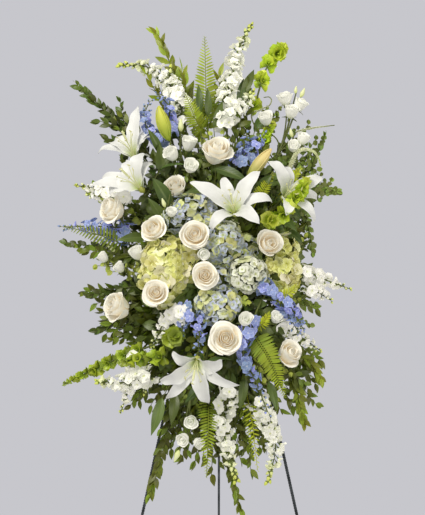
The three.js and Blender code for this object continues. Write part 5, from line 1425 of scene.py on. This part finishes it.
fern_shapes = leaf_shelf("fern leaflets", ((1.0, 0.106, 0.25), (0.95, 0.100, 0.35)), 0.4, 0.45, 0.15, 6)
IN_PAIRS = {"turn": math.pi, "roll": math.pi}
FERNS = {
    # where the fronds begin, their finish, and each frond: its places, half width and leaflets
    "fern_top": (
        (-0.030, 1.560, 0.045), fern_green,
        [([(-0.035, 1.690, 0.032), (-0.038, 1.818, 0.025)], 0.044, 62),
         ([(-0.058, 1.585, 0.080), (-0.087, 1.655, 0.095)], 0.034, 44)]),
    "fern_left": (
        (-0.215, 1.265, 0.050), deep_fern,
        [([(-0.252, 1.274, 0.080), (-0.313, 1.296, 0.085), (-0.392, 1.314, 0.080)], 0.035, 46)]),
    "fern_right": (
        (0.085, 1.045, 0.150), fern_green, [([(0.120, 0.990, 0.175), (0.156, 0.900, 0.165)], 0.036, 56)]),
    "fern_bottom": (
        (-0.025, 0.900, 0.075), fern_green,
        [([(-0.028, 0.812, 0.112), (-0.032, 0.703, 0.105)], 0.030, 56),
         ([(0.065, 0.850, 0.065), (0.080, 0.748, 0.055)], 0.028, 50)]),
}

for name, (start, finish, fronds) in FERNS.items():
    form = Form()
    for line, beyond, half, count in branching(start, fronds):
        rod(form, line, [0.002, 0.0016, 0.0008], finish, 6, rise=0.3)
        grow(form, [part_of(beyond, 0.04)], fern_shapes, finish, green=finish, count=count, size=half,
             tip_size=0.12 * half, taper=1.7, lean=0.2, tip_lean=0.6, jitter=0.12, vary=0.06, **IN_PAIRS)
    finished(form, f"{name}_fronds", name)

LIME_TIPS = [
    # foot and tip of each young frond between the flowers
    ((0.098, 1.385, 0.140), (0.134, 1.446, 0.140)), ((0.138, 1.140, 0.150), (0.196, 1.168, 0.140)),
    ((0.090, 1.075, 0.150), (0.122, 1.100, 0.160)), ((0.170, 1.420, 0.110), (0.205, 1.462, 0.110)),
    ((0.072, 0.876, 0.085), (0.093, 0.715, 0.075)),
]
form = Form()
for foot, tip in LIME_TIPS:
    line = smooth_line([*stem_from_foam(foot), spot(*tip)])
    rod(form, line, [0.0018, 0.0012, 0.0006], lime_frond, 6)
    bare = length_of(line[:STEPS + 1]) / length_of(line)
    grow(form, [part_of(line, bare)], fern_shapes, lime_frond, green=lime_frond, count=30, size=0.020,
         tip_size=0.006, taper=1.5, lean=0.3, tip_lean=0.8, jitter=0.2, vary=0.1, **IN_PAIRS)
finished(form, "fern_tips")


# Foliage. Branches of glossy dark leaves with paler tips frame the flowers: pointed ones above and below,
# small round ones to the right.
dark_leaf = leaf_finish("glossy dark leaf", (0.034, 0.048, 0.004), (0.19, 0.24, 0.018), (0.10, 0.13, 0.015),
                        variety=1.0, roughness=0.36)
olive_leaf = leaf_finish("olive leaf", (0.060, 0.086, 0.006), (0.36, 0.42, 0.03), (0.17, 0.21, 0.02),
                         variety=0.9, roughness=0.36)
deep_leaf = leaf_finish("deep green leaf", (0.022, 0.036, 0.006), (0.10, 0.14, 0.016), (0.06, 0.09, 0.015),
                        variety=0.9, roughness=0.34)
round_leaf = leaf_finish("small round leaf", (0.055, 0.085, 0.016), (0.24, 0.31, 0.05), (0.13, 0.17, 0.03),
                         variety=0.9, roughness=0.4)

long_leaves = leaf_shelf("long leaves", ((0.046, 0.0082, 0.3), (0.042, 0.0080, 0.5), (0.050, 0.0085, 0.1)))
pointed_leaves = leaf_shelf(
    "pointed leaves", ((0.036, 0.0086, 0.5), (0.032, 0.0082, 0.8), (0.038, 0.0088, 0.2)))
oval_leaves = leaf_shelf("oval leaves", ((0.029, 0.0082, 0.5), (0.026, 0.0080, 0.8)), sharp=0.8)
small_leaves = leaf_shelf("small leaves", ((0.022, 0.0085, 0.5), (0.019, 0.0080, 0.7)), sharp=0.7)

FOLIAGE = {
    # where the branches begin, the leaves, their finish, and each branch: its places and number of leaves
    "foliage_top": (
        (-0.070, 1.590, 0.025), {}, long_leaves, olive_leaf,
        [([(-0.122, 1.730, 0.020), (-0.146, 1.785, 0.020), (-0.164, 1.826, 0.020)], 38),
         ([(-0.082, 1.660, 0.020), (-0.097, 1.722, 0.022)], 20),
         ([(-0.005, 1.640, 0.015), (0.000, 1.710, 0.015)], 18),
         ([(-0.150, 1.650, 0.030), (-0.188, 1.712, 0.035)], 16)]),
    "foliage_left_upper": (
        (-0.190, 1.490, 0.020), {}, pointed_leaves, deep_leaf,
        [([(-0.243, 1.569, 0.020), (-0.310, 1.630, 0.018), (-0.370, 1.686, 0.020)], 54),
         ([(-0.246, 1.585, 0.025), (-0.258, 1.640, 0.028)], 20),
         ([(-0.256, 1.566, 0.030), (-0.308, 1.590, 0.035)], 20),
         ([(-0.240, 1.525, 0.030), (-0.285, 1.540, 0.040)], 18)]),
    "foliage_left_lower": (
        (-0.185, 1.150, 0.045), {}, oval_leaves, deep_leaf,
        [([(-0.290, 1.252, 0.035), (-0.388, 1.272, 0.030)], 34),
         ([(-0.250, 1.155, 0.050), (-0.328, 1.142, 0.050)], 30),
         ([(-0.235, 1.095, 0.050), (-0.306, 1.054, 0.050)], 40)]),
    "foliage_right_upper": (
        (0.180, 1.390, 0.030), {"deep": 0.030}, small_leaves, round_leaf,
        [([(0.240, 1.405, 0.040), (0.302, 1.404, 0.050)], 56),
         ([(0.235, 1.470, 0.030), (0.272, 1.550, 0.030)], 52),
         ([(0.220, 1.330, 0.050), (0.238, 1.250, 0.050)], 30)]),
    "foliage_right_lower": (
        (0.150, 1.000, 0.050), {}, pointed_leaves, olive_leaf,
        [([(0.210, 0.985, 0.050), (0.252, 0.935, 0.050)], 34),
         ([(0.190, 0.910, 0.050), (0.210, 0.828, 0.055)], 40)]),
    "foliage_bottom": (
        (-0.090, 0.950, 0.050), {}, pointed_leaves, dark_leaf,
        [([(-0.132, 0.800, 0.045), (-0.170, 0.655, 0.045)], 60),
         ([(0.004, 0.780, 0.045), (0.050, 0.620, 0.040)], 64),
         ([(0.060, 0.800, 0.045), (0.076, 0.715, 0.050)], 26)]),
}
FLAT_SHARE = 0.62


def grow_leaves(form, lines, shapes, finish, count, lean=0.9, tip_lean=1.2):
    """Leaves along lines, in pairs that stand partly across and partly in depth."""
    for front, share in (((0, -1, 0), FLAT_SHARE), ((0.9, -0.45, 0), 1 - FLAT_SHARE)):
        grow(form, lines, shapes, finish, front=front, count=round(share * count), lean=lean,
             tip_lean=tip_lean, size=1.0, tip_size=0.75, jitter=0.45, vary=0.15, **IN_PAIRS)


for name, (start, root, shapes, finish, branches) in FOLIAGE.items():
    form = Form()
    for line, beyond, count in branching(start, branches, **root):
        rod(form, line, [0.0024, 0.0018, 0.0008], stem_green, 6, rise=0.2)
        grow_leaves(form, [part_of(beyond, 0.02)], shapes, finish, count)
    finished(form, f"{name}_leaves", name)


# Leafy filler. Short sprigs pushed in all over the foam hide it and fill the space between the flowers: broad
# dark leaves near the middle, and small leaves towards the rim.
broad_leaves = leaf_shelf("broad leaves", ((0.055, 0.016, 0.7), (0.048, 0.015, 0.4), (0.060, 0.0165, 1.0)))
middle_leaf = leaf_finish("broad dark leaf", (0.030, 0.048, 0.010), (0.12, 0.165, 0.028), (0.09, 0.12, 0.025),
                          roughness=0.36)
pale_leaf = leaf_finish("pale sprig leaf", (0.22, 0.27, 0.03), (0.48, 0.54, 0.09), (0.32, 0.38, 0.06))

FILLERS = {
    # sprigs, leaves on each, leaves, finish, and the shares of the spray's width and height that they reach
    "leafy_filler_middle": (70, 12, broad_leaves, middle_leaf, 0.15, 0.85),
    "leafy_filler_dark": (95, 18, pointed_leaves, dark_leaf, 0.35, 1.02),
    "leafy_filler_round": (60, 24, small_leaves, round_leaf, 0.5, 1.05),
    "leafy_filler_pale": (52, 16, small_leaves, pale_leaf, 0.3, 0.95),
}
SPARSE_PLACES = {
    # places near the rim that sprigs of each kind are led to
    "leafy_filler_middle": [
        (-0.19, 1.40), (-0.13, 1.45), (-0.24, 1.48), (0.10, 1.46), (-0.05, 0.93), (-0.19, 0.92),
        (0.20, 0.93)],
    "leafy_filler_dark": [
        (-0.25, 1.60), (-0.27, 1.58), (-0.22, 1.56), (-0.16, 1.69), (-0.15, 1.66), (-0.12, 1.63),
        (0.07, 1.68), (0.08, 1.64), (0.05, 1.60), (-0.25, 1.49), (-0.28, 1.38), (-0.32, 1.42), (-0.27, 1.35),
        (-0.30, 1.14), (-0.34, 1.15), (-0.28, 1.08), (-0.20, 0.88), (-0.23, 0.91), (-0.16, 0.84),
        (-0.11, 0.80), (-0.08, 0.76), (-0.03, 0.74), (0.00, 0.78), (0.06, 0.76), (0.10, 0.79), (0.13, 0.82),
        (0.15, 0.86), (0.22, 0.91), (0.24, 0.87), (0.20, 0.84), (-0.13, 0.88), (0.25, 0.98), (-0.20, 1.10),
        (-0.22, 1.06), (-0.19, 1.05), (-0.24, 1.09), (-0.17, 1.03), (-0.21, 1.03), (-0.10, 0.75),
        (-0.06, 0.73), (-0.12, 0.78), (-0.14, 0.81), (0.00, 0.73), (0.03, 0.72), (0.05, 0.74), (0.03, 0.77),
        (0.09, 0.81), (0.075, 0.74), (-0.02, 0.70), (0.06, 0.78), (0.22, 0.96), (0.24, 0.92), (-0.255, 1.05),
        (-0.27, 1.07), (-0.24, 1.035), (-0.265, 1.03), (-0.285, 1.045), (-0.245, 1.06), (-0.33, 1.255),
        (-0.36, 1.26), (-0.30, 1.265), (-0.20, 0.90), (-0.17, 0.87), (-0.22, 0.87), (-0.15, 0.90),
        (-0.09, 0.745), (-0.12, 0.76), (-0.06, 0.735), (-0.04, 0.75), (0.11, 0.775), (0.12, 0.79),
        (0.10, 0.765), (-0.26, 1.31), (-0.29, 1.10), (-0.31, 1.12)],
    "leafy_filler_round": [
        (0.22, 1.53), (0.25, 1.54), (0.24, 1.51), (0.23, 1.47), (0.25, 1.46), (0.24, 1.43), (0.26, 1.45),
        (0.23, 1.49), (0.24, 1.39), (0.17, 1.47), (0.20, 1.57), (0.23, 1.58), (0.26, 1.41), (0.23, 1.36),
        (0.10, 1.55), (0.13, 1.58), (0.16, 1.53), (0.15, 1.49), (0.18, 1.50), (0.20, 1.45), (0.12, 1.62),
        (0.14, 1.60), (0.20, 1.52), (0.15, 1.60), (0.155, 1.62), (0.27, 1.43), (0.29, 1.41), (0.285, 1.43),
        (0.25, 1.43), (0.22, 1.29), (0.225, 1.31), (0.215, 1.27), (0.22, 1.55), (0.23, 1.50)],
    "leafy_filler_pale": [
        (0.11, 1.54), (0.02, 1.60), (-0.04, 1.56), (0.21, 1.19), (-0.03, 0.90), (0.12, 0.87), (-0.24, 1.27),
        (-0.30, 1.235), (-0.31, 1.215), (-0.28, 1.225), (-0.27, 1.20), (-0.36, 1.42), (-0.33, 1.40)],
}
FILL_ACROSS = 0.245
FILL_UP = 0.400
FILL_MIDDLE = 1.195
GOLDEN_SHARE = 0.61803

for name, (sprigs, leaves, shapes, finish, nearest, farthest) in FILLERS.items():
    form = Form()
    lines = []
    ends = SPARSE_PLACES[name]
    for i in range(sprigs + len(ends)):
        angle = 2 * math.pi * (i * GOLDEN_SHARE + dice.uniform(-0.05, 0.05))
        share = math.sqrt(dice.uniform(nearest**2, farthest**2))
        if i < sprigs:
            x = FILL_ACROSS * share * math.cos(angle)
            up = FILL_MIDDLE + FILL_UP * share * math.sin(angle)
        else:
            x, up = ends[i - sprigs]
            share = 1.0
        forward = 0.135 - 0.095 * share**2 + dice.uniform(-0.02, 0.015)
        cut_end, tip = stem_from_foam((x, up, forward), aside=dice.uniform(-0.02, 0.02),
                                      up=dice.uniform(-0.03, 0.03), deep=0.05)
        middle = spot(0.55 * x, FILL_MIDDLE + 0.6 * (up - FILL_MIDDLE), 0.4 * forward + 0.06)
        line = smooth_line([cut_end, middle, tip])
        rod(form, line, [0.0018, 0.0008], stem_green, 5, rise=0.1)
        lines.append(part_of(line, 0.4))
    grow_leaves(form, lines, shapes, finish, leaves, 0.65, 1.1)
    finished(form, name)


# Broad blades. Single long leaves, folded along the rib and waved at the edge, on stems of their own that are
# tucked in between the flowers.
BLADES = [
    # its foot, tip and half width
    ((-0.138, 1.440, 0.100), (-0.152, 1.520, 0.100), 0.020),
    ((-0.125, 1.365, 0.130), (-0.165, 1.432, 0.150), 0.018),
    ((-0.140, 1.325, 0.120), (-0.176, 1.382, 0.140), 0.013),
    ((-0.180, 1.286, 0.100), (-0.252, 1.280, 0.130), 0.013),
    ((-0.010, 1.410, 0.130), (-0.080, 1.398, 0.160), 0.014),
    ((-0.012, 1.458, 0.140), (0.070, 1.425, 0.170), 0.014),
    ((0.140, 1.345, 0.130), (0.190, 1.303, 0.140), 0.012),
    ((-0.142, 0.890, 0.080), (-0.166, 0.805, 0.090), 0.014),
    ((-0.052, 1.605, 0.060), (-0.054, 1.682, 0.060), 0.010),
    ((-0.030, 1.600, 0.060), (-0.030, 1.672, 0.065), 0.010),
    ((0.058, 1.655, 0.050), (0.090, 1.724, 0.045), 0.012),
    ((0.050, 1.630, 0.050), (0.062, 1.700, 0.050), 0.011),
    ((-0.015, 1.570, 0.070), (0.008, 1.638, 0.070), 0.010),
    ((0.090, 1.560, 0.050), (0.120, 1.612, 0.050), 0.012),
    ((-0.150, 1.500, 0.080), (-0.180, 1.560, 0.110), 0.011),
    ((0.100, 1.410, 0.130), (0.128, 1.440, 0.150), 0.012),
    ((-0.110, 0.900, 0.080), (-0.118, 0.830, 0.090), 0.013),
    ((0.060, 0.940, 0.100), (0.050, 0.870, 0.110), 0.012),
    ((0.120, 0.930, 0.080), (0.140, 0.862, 0.090), 0.011),
    ((-0.040, 0.930, 0.100), (-0.082, 0.885, 0.120), 0.012),
    ((0.170, 1.300, 0.100), (0.205, 1.275, 0.110), 0.013),
    ((0.175, 1.110, 0.090), (0.205, 1.085, 0.100), 0.013),
]
form = Form()
for foot, tip, half in BLADES:
    cut_end, base = stem_from_foam(foot, aside=dice.uniform(-0.02, 0.02), up=dice.uniform(-0.02, 0.02))
    way = spot(*tip) - base
    line = smooth_line([cut_end, cut_end.lerp(base, 0.6) - Vector((0, 0.01, 0)), base + way * 0.03])
    rod(form, line, [0.0018, 0.0011], stem_green, 5, rise=0.2)
    blade = petal_grid(way.length * 1.08, half, 12, 7, leaf_width(0.4), lambda t: 0.35 - 0.8 * t, cup=0.1,
                       fold=0.25, ruffle=0.06, waves=1.2, phase=dice.uniform(0, 6))
    own = frame_at(base, way, (0.2, -1, 0.3))
    sheet(form, blade, BLADE, lily_leaf, own, tone=dice.random(), rise=dice.uniform(0, 0.6))
finished(form, "broad_blades")


# The end. The small shapes that the trees repeat are not part of the spray, so they go.
for made in shelves:
    for shape in list(made.objects):
        bpy.data.objects.remove(shape)
    bpy.data.collections.remove(made)
